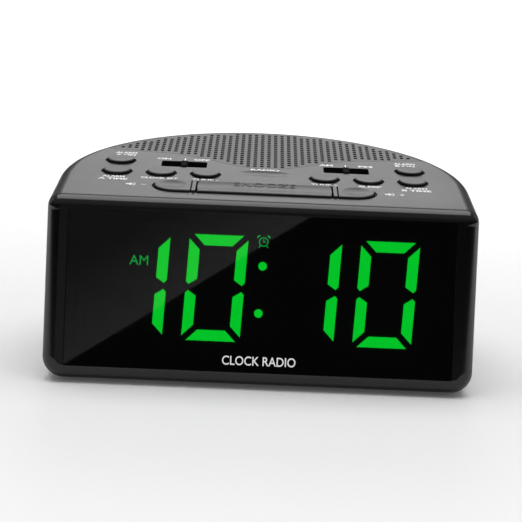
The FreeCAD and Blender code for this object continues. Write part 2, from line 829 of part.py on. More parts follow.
cutters += each(SPEAKER_POSTS, lambda n, x, y: rod(
    f"speaker_pilot_{n}", "small_screw_radius", "baffle_base - speaker_flange - 1",
    "baffle_top - 0.4", "deck", x, y))
cutters += each(RAIL_SCREWS, lambda n, x, y: rod(
    f"rail_pilot_{n}", "small_screw_radius", "display_board_back - 2*rail_depth",
    "display_board_back + 1", "face", x, y))
ribs = []
for side, across in ((-1, ("-rib_outer", "-rib_inner")), (1, ("rib_inner", "rib_outer"))):
    ribs.append(box(f"bar_rib_{side + 1}", "deck", across,
                    span("bar_row", "2*(bar_half_depth + 2*bar_well)"), ("-wall", "0")))
    ribs.append(box(f"bar_rib_top_{side + 1}", "deck", across,
                    span("bar_row", "2*bar_half_depth"), ("-wall", "bar_rise")))
cabinet_shell = common("cabinet_shell", tub, above_split)
cabinet_solid = fuse("cabinet_solid", cabinet_shell, trimmed_insides)
keep(fuse("cabinet_part", cut("cabinet_cut", cabinet_solid, *cutters), *ribs), "cabinet")

# ---------------------------------------------------------------- keys


def switch_plunger(label, x, y):
    """The moving top of a tact switch, under a key's stem."""
    keep(rod(f"{label}_plunger_turn", "stem_radius", "switch_top - plunger_sink", "plunger_top",
             "deck", x, y), f"{label}_plunger")


for name, x, y in KEYS:
    rise = "key_rise - plunger_top"
    lip = "key_radius + key_lip"
    profile = [("0", "0"), ("stem_radius", "0"), ("stem_radius", "key_stem"), (lip, "key_stem"),
               (lip, "key_stem + key_flange"), ("key_radius", "key_stem + key_flange"),
               ("key_radius", rise), ("0", rise)]
    cap = turned(name, profile, "deck", x, y, "plunger_top")
    fillet(cap, at_height(rise), "key_edge")
    keep(cap, name)
    switch_plunger(name.replace("_key", ""), x, y)

BAR_SPAN = span("0", "2*(rib_inner - rib_gap)")
TROUGH_LIFT = "(bar_rise - bar_trough_depth + bar_trough_radius)"
bar_block = plate("bar_block", "deck", rectangle(BAR_SPAN, span("bar_row", "2*bar_half_depth")),
                  "flange_base", "bar_rise", edge_radius="bar_edge")
bar_flange = box("bar_flange", "deck", BAR_SPAN, span("bar_row", "2*(bar_half_depth + key_gap + key_lip)"),
                 ("flange_base", "flange_top"))
bar_stem = rod("bar_stem", "stem_radius", "plunger_top", "flange_base + 0.5", "deck", "0", "bar_row")
bar_trough = cylinder_along(
    "bar_trough", X_AXIS, "bar_trough_radius", "2*bar_half_length", "-bar_half_length",
    f"corner_y + bar_row*cos(deck_slope) - {TROUGH_LIFT}*sin(deck_slope)",
    f"corner_z + bar_row*sin(deck_slope) + {TROUGH_LIFT}*cos(deck_slope)")
keep(cut("snooze_bar_cut", fuse("snooze_bar_solid", bar_block, bar_flange, bar_stem), bar_trough),
     "snooze_bar")
switch_plunger("snooze", "0", "bar_row")

for name, side in VOLUME_KEYS:
    near, far = "rib_outer + rib_gap", "2*bar_half_length"
    across = (near, far) if side > 0 else (f"-({far})", f"-({near})")
    half_space = box(f"{name}_side", "deck", across, everything, everything)
    top = stadium(f"{name}_top", "bar_half_depth", "flange_base", "bar_rise", "bar_edge")
    lip = stadium(f"{name}_lip", "bar_half_depth + key_gap + key_lip", "flange_base", "flange_top")
    shape = common(f"{name}_shape", fuse(f"{name}_solid", top, lip), half_space)
    column = f"{side}*{VOLUME_COLUMN}"
    stem = rod(f"{name}_stem", "stem_radius", "plunger_top", "flange_base + 0.5", "deck", column, "bar_row")
    scoop = doc.addObject("Part::Sphere", f"{name}_scoop")
    bind(scoop, "Radius", "scoop_radius")
    place(scoop, "deck", column, "bar_row", "bar_rise - scoop_depth + scoop_radius")
    keep(cut(f"{name}_cut", fuse(f"{name}_body", shape, stem), scoop), name)
    switch_plunger(name.replace("_key", ""), column, "bar_row")

# ---------------------------------------------------------------- slide switches

for name, x in SLIDES:
    knob_plate = box(f"{name}_plate", "deck", span(x, f"2*{SLIDE_PLATE_HALF}"),
                     span("slot_row", "slot_width + 2*key_lip"), ("flange_top - slide_plate", "flange_top"))
    nub = plate(f"{name}_nub", "deck", rectangle(span(x, "nub_width"), span("slot_row", "nub_length")),
                "flange_top", "nub_rise", "nub_width/4", "nub_width/5")
    stem = box(f"{name}_stem", "deck", span(x, "slide_stem_width"), span("slot_row", "slide_stem_length"),
               ("flange_top - slide_plate - slide_stem_reach", "flange_top - slide_plate"))
    keep(fuse(f"{name}_solid", knob_plate, nub, stem), name)

slide_bodies = []
for name, x in SLIDES:
    block = box(f"{name}_block", "deck", span(x, "slide_body_length"), span("slot_row", "slide_body_width"),
                ("key_board_top", "flange_top - slide_plate - key_stop_gap"))
    hollow = box(f"{name}_hollow", "deck", span(x, "slide_body_length - 2*slide_body_wall"),
                 span("slot_row", "slide_body_width - 2*slide_body_wall"),
                 ("key_board_top + slide_body_wall", "0"))
    slide_bodies.append(cut(f"{name}_case", block, hollow))
keep(group("slide_switch_group", slide_bodies), "slide_switches")

# ---------------------------------------------------------------- key board

SWITCH_SPOTS = [(x, y) for _, x, y in KEYS] + [("0", "bar_row")]
SWITCH_SPOTS += [(f"{side}*{VOLUME_COLUMN}", "bar_row") for side in SIDES]


def tact_switch(number, x, y):
    block = box(f"tact_{number}", "deck", span(x, "switch_size"), span(y, "switch_size"),
                ("key_board_top", "switch_top"))
    bore = rod(f"tact_bore_{number}", "switch_bore", "switch_top - switch_bore_depth", "0", "deck", x, y)
    return cut(f"tact_switch_{number}", block, bore)


def small_screw(name, frame, x, y, seat, points_up=True, length="small_screw_length"):
    """A pan-head screw whose head rests on a seat, with its shank through the seat."""
    top = f"small_head + {length}"
    if points_up:
        profile = [("0", "0"), ("small_head_radius", "0"), ("small_head_radius", "small_head"),
                   ("small_screw_radius", "small_head"), ("small_screw_radius", top), ("0", top)]
        return turned(name, profile, frame, x, y, f"{seat} - small_head")
    profile = [("0", "0"), ("small_screw_radius", "0"), ("small_screw_radius", length),
               ("small_head_radius", length), ("small_head_radius", top), ("0", top)]
    return turned(name, profile, frame, x, y, f"{seat} - {length}")


keep(group("tact_switch_group", each(SWITCH_SPOTS, tact_switch)), "tact_switches")
key_board = box("key_board_blank", "deck", span("0", "key_board_width"),
                ("key_board_front", "key_board_back"), ("key_board_base", "key_board_top"))
board_cutters = [rod("speaker_clearance", "speaker_radius + 1.5", "key_board_base - 1",
                     "key_board_top + 1", "deck", y="speaker_row")]
board_cutters += each(KEY_POSTS, lambda n, x, y: rod(
    f"key_board_hole_{n}", "small_screw_radius + screw_gap", "key_board_base - 1",
    "key_board_top + 1", "deck", x, y))
keep(cut("key_board_cut", key_board, *board_cutters), "key_board")
keep(group("key_board_screw_group", each(KEY_POSTS, lambda n, x, y: small_screw(
    f"key_screw_{n}", "deck", x, y, "key_board_base"))), "key_board_screws")

# ---------------------------------------------------------------- loudspeaker

FLANGE_BACK = "baffle_base - speaker_flange"
THROAT = "baffle_base - speaker_depth"
CONE_LOW = f"{THROAT} + cone_gap"
CONE_RIM = "speaker_radius - 3*basket_wall - 2.5*cone_gap"


def speaker_part(label, profile):
    """A piece of revolution about the speaker's axis, with heights in the deck's frame."""
    keep(turned(f"{label}_turn", profile, "deck", y="speaker_row"), label)


speaker_part("speaker_basket", [
    ("speaker_throat - basket_wall", THROAT), ("speaker_throat", THROAT),
    ("speaker_radius - 2*basket_wall", FLANGE_BACK), ("speaker_radius", FLANGE_BACK),
    ("speaker_radius", "baffle_base"), ("speaker_radius - 3*basket_wall", "baffle_base"),
])
speaker_part("speaker_magnet", [
    ("0", f"{THROAT} - magnet_height"), ("magnet_radius", f"{THROAT} - magnet_height"),
    ("magnet_radius", THROAT), ("0", THROAT),
])
speaker_part("speaker_cone", [
    ("0", CONE_LOW), ("cap_radius", CONE_LOW), (CONE_RIM, "baffle_base - cone_gap - cone_wall"),
    (CONE_RIM, "baffle_base - cone_gap"), ("cap_radius - cone_wall", f"{CONE_LOW} + cone_wall"),
    ("0", f"{CONE_LOW} + cone_wall"),
])
speaker_part("speaker_dust_cap", [
    ("0", f"{CONE_LOW} + cone_wall"), ("cap_radius - 2*cone_wall", f"{CONE_LOW} + cone_wall"),
    ("cap_radius - 4*cone_wall", f"{CONE_LOW} + 4*cone_wall"), ("0", f"{CONE_LOW} + 5*cone_wall"),
])
keep(group("speaker_screw_group", each(SPEAKER_POSTS, lambda n, x, y: small_screw(
    f"speaker_screw_{n}", "deck", x, y, FLANGE_BACK, length="speaker_screw_length"))), "speaker_screws")

# ---------------------------------------------------------------- display

module = box("digit_module_block", "face", span("0", "module_width"),
             span("-window_middle", "module_height"), ("module_back", "module_front"))
keep(module, "digit_module")
display_board = box("display_board_blank", "face", span("0", "display_board_width"),
                    span("-window_middle", "display_board_height"), ("display_board_back", "module_back"))
display_holes = each(RAIL_SCREWS, lambda n, x, y: rod(
    f"display_board_hole_{n}", "small_screw_radius + screw_gap", "display_board_back - 1",
    "module_back + 1", "face", x, y))
keep(cut("display_board_cut", display_board, *display_holes), "display_board")
keep(group("display_screw_group", each(RAIL_SCREWS, lambda n, x, y: small_screw(
    f"display_screw_{n}", "face", x, y, "module_back", points_up=False))), "display_screws")


def lean_over(x, y):
    """Shift a point of a digit sideways with its height, as slanted digits do."""
    return f"({x}) + (({y}) + digit_drop)*tan(digit_slant)", y


HALF_ACROSS, HALF_UP = "digit_width/2", "digit_height/2"


def level_stroke(end):
    """Corners of the stroke along a digit's top, end 1, or foot, end -1: a mitred bar."""
    outer, inner = f"({HALF_ACROSS} - stroke_gap)", f"({HALF_ACROSS} - stroke_gap - stroke)"
    edge, inside = f"{end}*{HALF_UP}", f"{end}*({HALF_UP} - stroke)"
    return [(f"-{outer}", edge), (outer, edge), (inner, inside), (f"-{inner}", inside)]


def upright_stroke(side, end):
    """Corners of a quarter of a digit's sides: mitred at the corner and pointed at the waist."""
    outer, inner = f"{side}*{HALF_ACROSS}", f"{side}*({HALF_ACROSS} - stroke)"
    return [(outer, f"{end}*({HALF_UP} - stroke_gap)"), (inner, f"{end}*({HALF_UP} - stroke_gap - stroke)"),
            (inner, f"{end}*(stroke_waist + stroke/2)"),
            (f"{side}*({HALF_ACROSS} - stroke/4)", f"{end}*stroke_waist"),
            (outer, f"{end}*(stroke_waist + stroke/4)")]


def middle_stroke():
    """Corners of the stroke across a digit's waist, pointed at both ends."""
    tip, shoulder = f"({HALF_ACROSS} - 0.6*stroke)", f"({HALF_ACROSS} - 1.1*stroke)"
    return [(f"-{tip}", "0"), (f"-{shoulder}", "stroke/2"), (shoulder, "stroke/2"),
            (tip, "0"), (shoulder, "-stroke/2"), (f"-{shoulder}", "-stroke/2")]


STROKES = {"top": level_stroke(1), "middle": middle_stroke(), "bottom": level_stroke(-1)}
for side, side_name in ((-1, "left"), (1, "right")):
    for end, end_name in ((-1, "lower"), (1, "upper")):
        STROKES[f"{end_name}_{side_name}"] = upright_stroke(side, end)
DIGITS = ("-digit_centre - digit_pitch", "-digit_centre", "digit_centre", "digit_centre + digit_pitch")
segments = []
for number, centre in enumerate(DIGITS):
    for stroke_name, corners in STROKES.items():
        spots = [lean_over(f"({centre}) + digit_shift + ({x})", f"({y}) - digit_drop") for x, y in corners]
        segments.append(plate(f"digit_{number}_{stroke_name}", "face", spots,
                              "module_front", "module_front + segment_thickness"))
for side in SIDES:
    x, y = lean_over("0", f"{side}*colon_spacing/2 - digit_drop")
    segments.append(rod(f"colon_dot_{side + 1}", "colon_radius", "module_front",
                        "module_front + segment_thickness", "face", x, y))
keep(group("digit_segment_group", segments), "digit_segments")

# ---------------------------------------------------------------- base cover

MAIN_HALF = "main_board_width/2"
BOARD_POSTS = corners_of([(f"{MAIN_HALF} - post_inset", "main_board_front + post_inset"),
                          (f"{MAIN_HALF} - post_inset", "main_board_back - main_board_clip - post_inset")])
FEET = corners_of([("foot_column", "foot_front"), ("foot_back_column", "foot_back")])
DOOR_FRONT = "cell_centre - door_half"
DOOR_HINGE = "cell_centre + door_half - door_thickness/2"

clear_of_skirt = box("clear_of_skirt", "face", everything, everything,
                     (f"-2*({BIG})", "-bezel_depth - rim_length - 1"))
rim_band = box("rim_band", "row", everything, everything, ("base_split - 2", "base_split + 2.5"))
bridge_band = box("bridge_band", "row", everything, everything, ("base_split - 3", "base_split - seam"))
base_rim = common("base_rim", common("base_rim_ring", rim, rim_band), clear_of_skirt)
bridge_ring = common("bridge_ring", cut("core_ring", core, rim_inside), bridge_band)
base_bridge = common("base_bridge", bridge_ring, clear_of_skirt)

base_adds = [
    box("battery_case", "row", span("0", "2*(cavity_side + compartment_wall)"),
        span("cell_centre", "2*(cavity_half + compartment_wall)"),
        ("foot_height", "cavity_top + compartment_wall")),
    box("battery_frame", "row", span("0", "2*(door_side + 2*compartment_wall)"),
        span("cell_centre", "2*(door_half + 2*compartment_wall)"),
        ("foot_height", "foot_height + door_thickness + compartment_wall")),
]
base_adds += each(SCREW_SPOTS, lambda n, x, y: rod(
    f"pillar_{n}", "pillar_radius", "foot_height", "pillar_top - seam", x=x, y=y))
base_adds += each(BOARD_POSTS, lambda n, x, y: rod(
    f"board_post_{n}", "post_radius", "foot_height", "board_height", x=x, y=y))
base_insides = common("base_insides", fuse("base_adds", *base_adds), core)

base_cutters = [
    box("battery_cavity", "row", span("0", "2*cavity_side"), span("cell_centre", "2*cavity_half"),
        ("0", "cavity_top")),
    box("door_seat", "row", span("0", "2*(door_side + door_gap)"),
        span("cell_centre", "2*(door_half + door_gap)"), ("0", "foot_height + door_thickness + 0.1")),
    box("jack_relief", "row", span("0", "jack_width + 1"), ("jack_back - 2*rim_thickness", "back"),
        ("base_split - seam", "pillar_top")),
    rod("finger_notch", "finger_notch_radius", "0", "foot_height + door_thickness/2", y=DOOR_FRONT),
    cylinder_along("door_pin_hole", X_AXIS, "door_pin_radius + door_pin_gap",
                   "2*(door_side + door_pin_length + 0.3)", "-door_side - door_pin_length - 0.3",
                   DOOR_HINGE, "door_axis"),
]
base_cutters += each(SCREW_SPOTS, lambda n, x, y: rod(
    f"head_well_{n}", "screw_head_radius + screw_gap", "0", "pillar_seat", x=x, y=y))
base_cutters += each(SCREW_SPOTS, lambda n, x, y: rod(
    f"screw_hole_{n}", "screw_radius + screw_gap", "0", "pillar_top + 1", x=x, y=y))
base_cutters += each(BOARD_POSTS, lambda n, x, y: rod(
    f"board_pilot_{n}", "small_screw_radius", "board_top - small_screw_length - 0.5", "board_top",
    x=x, y=y))
base_cutters += each(FEET, lambda n, x, y: rod(
    f"foot_seat_{n}", "foot_radius", "0", "foot_height + foot_seat", x=x, y=y))
base_shell = common("base_shell", tub, below_split)
base_solid = fuse("base_solid", base_shell, base_insides, base_rim, base_bridge)
keep(cut("base_cover_cut", base_solid, *base_cutters), "base_cover")
keep(group("foot_group", each(FEET, lambda n, x, y: rod(
    f"foot_{n}", "foot_radius - 0.1", "0", "foot_height + foot_seat", x=x, y=y))), "rubber_feet")


def case_screw(number, x, y):
    """A screw up through the base cover into a cabinet boss, with a drive recess in its head."""
    top = "screw_head + screw_length"
    profile = [("0", "drive_depth"), ("drive_radius", "drive_depth"), ("drive_radius", "0"),
               ("screw_head_radius", "0"), ("screw_head_radius", "screw_head"),
               ("screw_radius", "screw_head"), ("screw_radius", top), ("0", top)]
    return turned(f"case_screw_{number}", profile, "row", x, y, "pillar_seat - screw_head")


keep(group("case_screw_group", each(SCREW_SPOTS, case_screw)), "case_screws")

# ---------------------------------------------------------------- battery door, cells and contacts

door_leaf = box("door_leaf", "row", span("0", "2*door_side"), (DOOR_FRONT, DOOR_HINGE),
                ("foot_height", "foot_height + door_thickness"))
door_roll = cylinder_along("door_roll", X_AXIS, "door_thickness/2", "2*door_side", "-door_side",
                           DOOR_HINGE, "door_axis")
door_pin = cylinder_along("door_pin", X_AXIS, "door_pin_radius", "2*(door_side + door_pin_length)",
                          "-door_side - door_pin_length", DOOR_HINGE, "door_axis")
keep(fuse("battery_door_solid", door_leaf, door_roll, door_pin), "battery_door")

cells = []
contacts = []
for side in SIDES:
    y = f"cell_centre + {side}*cell_offset"
    tip_x = "cell_length/2" if side > 0 else "-cell_length/2 - cell_tip"
    can = cylinder_along(f"cell_can_{side + 1}", X_AXIS, "cell_radius", "cell_length",
                         "-cell_length/2", y, "cell_height")
    tip = cylinder_along(f"cell_tip_{side + 1}", X_AXIS, "cell_tip_radius", "cell_tip",
                         tip_x, y, "cell_height")
    cells.append(fuse(f"cell_{side + 1}", can, tip))
for side, across in ((-1, ("-cavity_side", "-cell_length/2 - cell_tip")),
                     (1, ("cell_length/2 + cell_tip", "cavity_side"))):
    contacts.append(box(f"contact_{side + 1}", "row", across, span("cell_centre", "2*cavity_half - 1"),
                        ("cell_height - cell_radius", "cell_height + cell_radius")))
keep(group("cell_group", cells), "battery_cells")
keep(group("contact_group", contacts), "battery_contacts")

# ---------------------------------------------------------------- main board and power socket

CLIP_ROW = "main_board_back - main_board_clip"
main_outline = [(f"-({MAIN_HALF})", "main_board_front"), (MAIN_HALF, "main_board_front"),
                (MAIN_HALF, CLIP_ROW), (f"{MAIN_HALF} - main_board_clip", "main_board_back"),
                (f"main_board_clip - {MAIN_HALF}", "main_board_back"), (f"-({MAIN_HALF})", CLIP_ROW)]
main_blank = plate("main_board_blank", "row", main_outline, "board_height", "board_top")
main_holes = each(BOARD_POSTS, lambda n, x, y: rod(
    f"main_board_hole_{n}", "small_screw_radius + screw_gap", "board_height - 1", "board_top + 1",
    x=x, y=y))
keep(cut("main_board_cut", main_blank, *main_holes), "main_board")
keep(group("board_screw_group", each(BOARD_POSTS, lambda n, x, y: small_screw(
    f"board_screw_{n}", "row", x, y, "board_top", points_up=False))), "board_screws")

jack_block = box("jack_block", "row", span("0", "jack_width"), ("jack_back - jack_length", "jack_back"),
                 ("board_top", "board_top + jack_height"))
jack_nose = cylinder_along("jack_nose_rod", Y_AXIS, "jack_nose_radius", "jack_nose - jack_back + 1",
                           "0", "jack_back - 1", "jack_axis")
jack_bore = cylinder_along("jack_bore_rod", Y_AXIS, "jack_bore", "jack_bore_depth + 1",
                           "0", "jack_nose - jack_bore_depth", "jack_axis")
jack_pin = cylinder_along("jack_pin_rod", Y_AXIS, "jack_pin_radius", "jack_bore_depth - jack_pin_setback",
                          "0", "jack_nose - jack_bore_depth", "jack_axis")
keep(cut("dc_jack_cut", fuse("dc_jack_solid", jack_block, jack_nose), jack_bore), "dc_jack")
keep(jack_pin, "dc_jack_pin")

# ---------------------------------------------------------------- components on the main board

CHIPS = [("tuner_chip", "-18", "6", "chip_long", "chip_short"),
         ("clock_chip", "12", "4", "chip_short", "chip_long")]
chip_pieces = [box(f"{name}_block", "row", span(x, length), span(y, width),
                   ("board_top", "board_top + chip_height")) for name, x, y, length, width in CHIPS]
keep(group("chip_group", chip_pieces), "circuit_chips")
CAPACITORS = [("-28", "24"), ("-20", "34"), ("20", "34"), ("26", "20")]
keep(group("capacitor_group", each(CAPACITORS, lambda n, x, y: rod(
    f"capacitor_{n}", "capacitor_radius", "board_top", "board_top + capacitor_height", x=x, y=y))),
    "capacitors")
keep(box("crystal_block", "row", span("-2", "crystal_length"), span("14", "crystal_width"),
         ("board_top", "board_top + crystal_height")), "crystal")

ROD_HEIGHT = "board_top + antenna_lift"
keep(cylinder_along("ferrite", X_AXIS, "ferrite_radius", "ferrite_length", "-ferrite_length/2",
                    "antenna_row", ROD_HEIGHT), "ferrite_rod")
coil_outside = cylinder_along("coil_outside", X_AXIS, "ferrite_radius + coil_thickness", "coil_length",
                              "-coil_length/2", "antenna_row", ROD_HEIGHT)
coil_inside = cylinder_along("coil_inside", X_AXIS, "ferrite_radius", "coil_length", "-coil_length/2",
                             "antenna_row", ROD_HEIGHT)
keep(cut("coil_tube", coil_outside, coil_inside), "antenna_coil")
holders = []
for side in SIDES:
    x = f"{side}*(ferrite_length/2 - holder_width)"
    block = box(f"holder_block_{side + 1}", "row", span(x, "holder_width"),
                span("antenna_row", "2*(ferrite_radius + coil_thickness)"), ("board_top", ROD_HEIGHT))
    seat = cylinder_along(f"holder_seat_{side + 1}", X_AXIS, "ferrite_radius", "2*holder_width",
                          f"{x} - holder_width", "antenna_row", ROD_HEIGHT)
    holders.append(cut(f"holder_{side + 1}", block, seat))
keep(group("holder_group", holders), "antenna_holders")

# The flat ribbon runs from the back of the display board to the front of the main board.
ribbon = new_body("ribbon")
ribbon_sketch = sketch_on(ribbon, "YZ_Plane")
BOARD_FOOT_Z = ("corner_z - (window_middle + display_board_height/2)*cos(face_lean)"
                " + display_board_back*sin(face_lean)")
RIBBON_Z = f"max(cavity_top + compartment_wall + 2; {BOARD_FOOT_Z} + 2*ribbon_thickness)"
BOARD_BACK_Y = f"corner_y - (corner_z - ({RIBBON_Z}))*tan(face_lean) - display_board_back/cos(face_lean)"
LOWER_BACK_Y = f"{BOARD_BACK_Y} - ribbon_thickness*tan(face_lean)"
TURN_Y = "main_board_front + 3"
polygon(ribbon_sketch, [
    (BOARD_BACK_Y, RIBBON_Z), (LOWER_BACK_Y, f"{RIBBON_Z} - ribbon_thickness"),
    (TURN_Y, f"{RIBBON_Z} - ribbon_thickness"), (TURN_Y, "board_top"),
    (f"{TURN_Y} + ribbon_thickness", "board_top"), (f"{TURN_Y} + ribbon_thickness", RIBBON_Z),
])
pad(ribbon, ribbon_sketch, "ribbon_width", both_ways=True)
keep(ribbon, "ribbon_cable")

# ---------------------------------------------------------------- checks and export

doc.recompute()
for obj in doc.Objects:
    if "Invalid" in obj.State or "Error" in obj.State:
        raise RuntimeError(f"{obj.Label} failed to build: {obj.State}")
for obj in EXPORTS:
    if obj.Shape.isNull() or not obj.Shape.isValid() or not obj.Shape.Solids:
        raise RuntimeError(f"{obj.Label} is not a valid solid")
labels = [obj.Label for obj in EXPORTS]
if len(set(labels)) != len(labels):
    raise RuntimeError("two pieces have the same name")

os.makedirs("parts", exist_ok=True)
for obj in EXPORTS:
    obj.Shape.exportStep(f"parts/{obj.Label}.step")
    print(f"{obj.Label}: {len(obj.Shape.Solids)} solids, {obj.Shape.Volume:.1f} mm3")
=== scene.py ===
import math

import bpy
from mathutils import Matrix, Vector


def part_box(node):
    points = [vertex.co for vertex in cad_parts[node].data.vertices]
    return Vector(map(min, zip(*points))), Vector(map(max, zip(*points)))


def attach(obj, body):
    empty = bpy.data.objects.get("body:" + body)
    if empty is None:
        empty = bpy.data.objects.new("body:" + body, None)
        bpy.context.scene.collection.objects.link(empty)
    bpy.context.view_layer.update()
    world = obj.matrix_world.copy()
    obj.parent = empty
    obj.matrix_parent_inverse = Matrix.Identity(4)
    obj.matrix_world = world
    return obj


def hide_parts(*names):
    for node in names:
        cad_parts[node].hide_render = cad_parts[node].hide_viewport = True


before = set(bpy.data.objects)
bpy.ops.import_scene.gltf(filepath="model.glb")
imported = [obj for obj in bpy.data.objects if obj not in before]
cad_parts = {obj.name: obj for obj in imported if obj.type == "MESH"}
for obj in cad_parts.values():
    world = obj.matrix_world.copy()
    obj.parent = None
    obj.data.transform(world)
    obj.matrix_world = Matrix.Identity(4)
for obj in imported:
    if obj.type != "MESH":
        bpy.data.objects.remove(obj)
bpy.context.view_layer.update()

MM = 0.001

# ---------------------------------------------------------------- camera

camera = bpy.data.objects.new("camera", bpy.data.cameras.new("camera"))
bpy.context.scene.collection.objects.link(camera)
camera.location = (-0.00152, -0.55974, 0.14317)
camera.rotation_euler = (math.radians(78.78), math.radians(-2.366), math.radians(0.324))
camera.data.lens = 110.34
camera.data.sensor_width = 36.0
bpy.context.scene.camera = camera

# ---------------------------------------------------------------- the case's own planes

CORNER = Vector((0.0, -46.83 * MM, 60.5 * MM))          # where the deck meets the front
DECK_SLOPE = math.radians(6.7)
FACE_LEAN = math.radians(9.0)
DECK = Matrix.Translation(CORNER) @ Matrix.Rotation(DECK_SLOPE, 4, "X")
UNDERSIDE = 1.0 * MM
BELOW = Matrix.Translation((0, 0, UNDERSIDE)) @ Matrix.Rotation(math.pi, 4, "X")        # y runs forwards
FACE = Matrix.Translation(CORNER) @ Matrix.Rotation(math.pi / 2 - FACE_LEAN, 4, "X")


def at(plane, x, y, z=0.0, turn=0.0):
    """A spot in millimetres on a plane of the case, turned in the plane by some degrees."""
    return plane @ Matrix.Translation(Vector((x, y, z)) * MM) @ Matrix.Rotation(math.radians(turn), 4, "Z")


# ---------------------------------------------------------------- modelling helpers


def clear_selection():
    if bpy.context.object and bpy.context.object.mode != "OBJECT":
        bpy.ops.object.mode_set(mode="OBJECT")
    bpy.ops.object.select_all(action="DESELECT")


def only(piece):
    clear_selection()
    piece.select_set(True)
    bpy.context.view_layer.objects.active = piece
    return piece


def pick(piece, wanted, kind="VERT"):
    """Open a piece in edit mode with just the wanted corners or faces selected."""
    only(piece)
    bpy.ops.object.mode_set(mode="EDIT")
    bpy.ops.mesh.select_mode(type=kind)
    bpy.ops.mesh.select_all(action="DESELECT")
    bpy.ops.object.mode_set(mode="OBJECT")
    parts = piece.data.vertices if kind == "VERT" else piece.data.polygons
    for part in parts:
        part.select = wanted(part)
    bpy.ops.object.mode_set(mode="EDIT")


def done(piece):
    bpy.ops.object.mode_set(mode="OBJECT")
    return piece


def nudge(piece, wanted, x, y):
    """Move the wanted corners across or along, in millimetres."""
    pick(piece, wanted)
    bpy.ops.transform.translate(value=(x * MM, y * MM, 0))
    return done(piece)


def copy_of(piece, name):
    twin = piece.copy()
    twin.data = piece.data.copy()
    twin.name = name
    bpy.context.scene.collection.objects.link(twin)
    return twin


def settle(piece, spot):
    """Put a piece made at the origin in its place, with the place in its mesh."""
    piece.data.transform(spot)
    piece.data.update()
    return piece


def joined(name, pieces):
    clear_selection()
    for piece in pieces:
        piece.select_set(True)
    bpy.context.view_layer.objects.active = pieces[0]
    if len(pieces) > 1:
        bpy.ops.object.join()
    whole = bpy.context.object
    whole.name = name
    return whole


def discard(piece):
    bpy.data.objects.remove(piece)


def tidy_faces(piece):
    pick(piece, lambda part: True)
    bpy.ops.mesh.remove_doubles(threshold=0.000002)
    bpy.ops.mesh.select_all(action="SELECT")
    bpy.ops.mesh.normals_make_consistent(inside=False)
    return done(piece)


def finish_piece(piece, material, body):
    piece.data.materials.clear()
    piece.data.materials.append(material)
    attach(piece, body)
    return piece


def raised_plate(piece, thickness, edge):
    """Give a flat outline its thickness, with a small bevel round its top."""
    pick(piece, lambda part: True, "FACE")
    bpy.ops.mesh.extrude_region_move(TRANSFORM_OT_translate={"value": (0, 0, thickness * MM)})
    if edge:
        bpy.ops.mesh.bevel(offset=edge * MM, segments=2, affect="EDGES")
    return tidy_faces(done(piece))


def flat_bar(length, width):
    """A flat rectangle along X, centred on the origin."""
    clear_selection()
    bpy.ops.mesh.primitive_plane_add(size=1.0)
    piece = bpy.context.object
    pick(piece, lambda part: True)
    bpy.ops.transform.resize(value=(length * MM, width * MM, 1))
    return done(piece)


def bar(length, width, thickness, edge=0.0):
    """A thin bar along X, centred on the origin."""
    return raised_plate(flat_bar(length, width), thickness, edge)


def lettering(words, height, width=None, thickness=0.03, weight=0.0):
    """Upright letters of a given height, centred on the origin, as a solid mesh."""
    clear_selection()
    bpy.ops.object.text_add()
    text = bpy.context.object
    text.data.body = words
    text.data.size = height * MM / 0.69
    text.data.offset = weight * MM
    text.data.extrude = thickness * MM / 2
    text.data.resolution_u = 4
    bpy.ops.object.convert(target="MESH")
    text = bpy.context.object
    spots = [corner.co for corner in text.data.vertices]
    low = Vector([min(spot[axis] for spot in spots) for axis in range(3)])
    high = Vector([max(spot[axis] for spot in spots) for axis in range(3)])
    stretch = width * MM / (high.x - low.x) if width else 1.0
    middle = (low + high) / 2
    middle.z = low.z
    text.data.transform(Matrix.Diagonal((stretch, 1, 1, 1)) @ Matrix.Translation(-middle))
    return text


# ---------------------------------------------------------------- materials


def new_group(name, inputs, outputs):
    group = bpy.data.node_groups.new(name, "ShaderNodeTree")
    for label, kind, start in inputs:
        socket = group.interface.new_socket(name=label, in_out="INPUT", socket_type=kind)
        socket.default_value = start
    for label, kind in outputs:
        group.interface.new_socket(name=label, in_out="OUTPUT", socket_type=kind)
    return group, group.nodes.new("NodeGroupInput"), group.nodes.new("NodeGroupOutput")


def node(tree, kind, **settings):
    made = tree.nodes.new(kind)
    for name, value in settings.items():
        if name in made.bl_rna.properties:
            setattr(made, name, value)
        else:
            made.inputs[name.replace("_", " ")].default_value = value
    return made


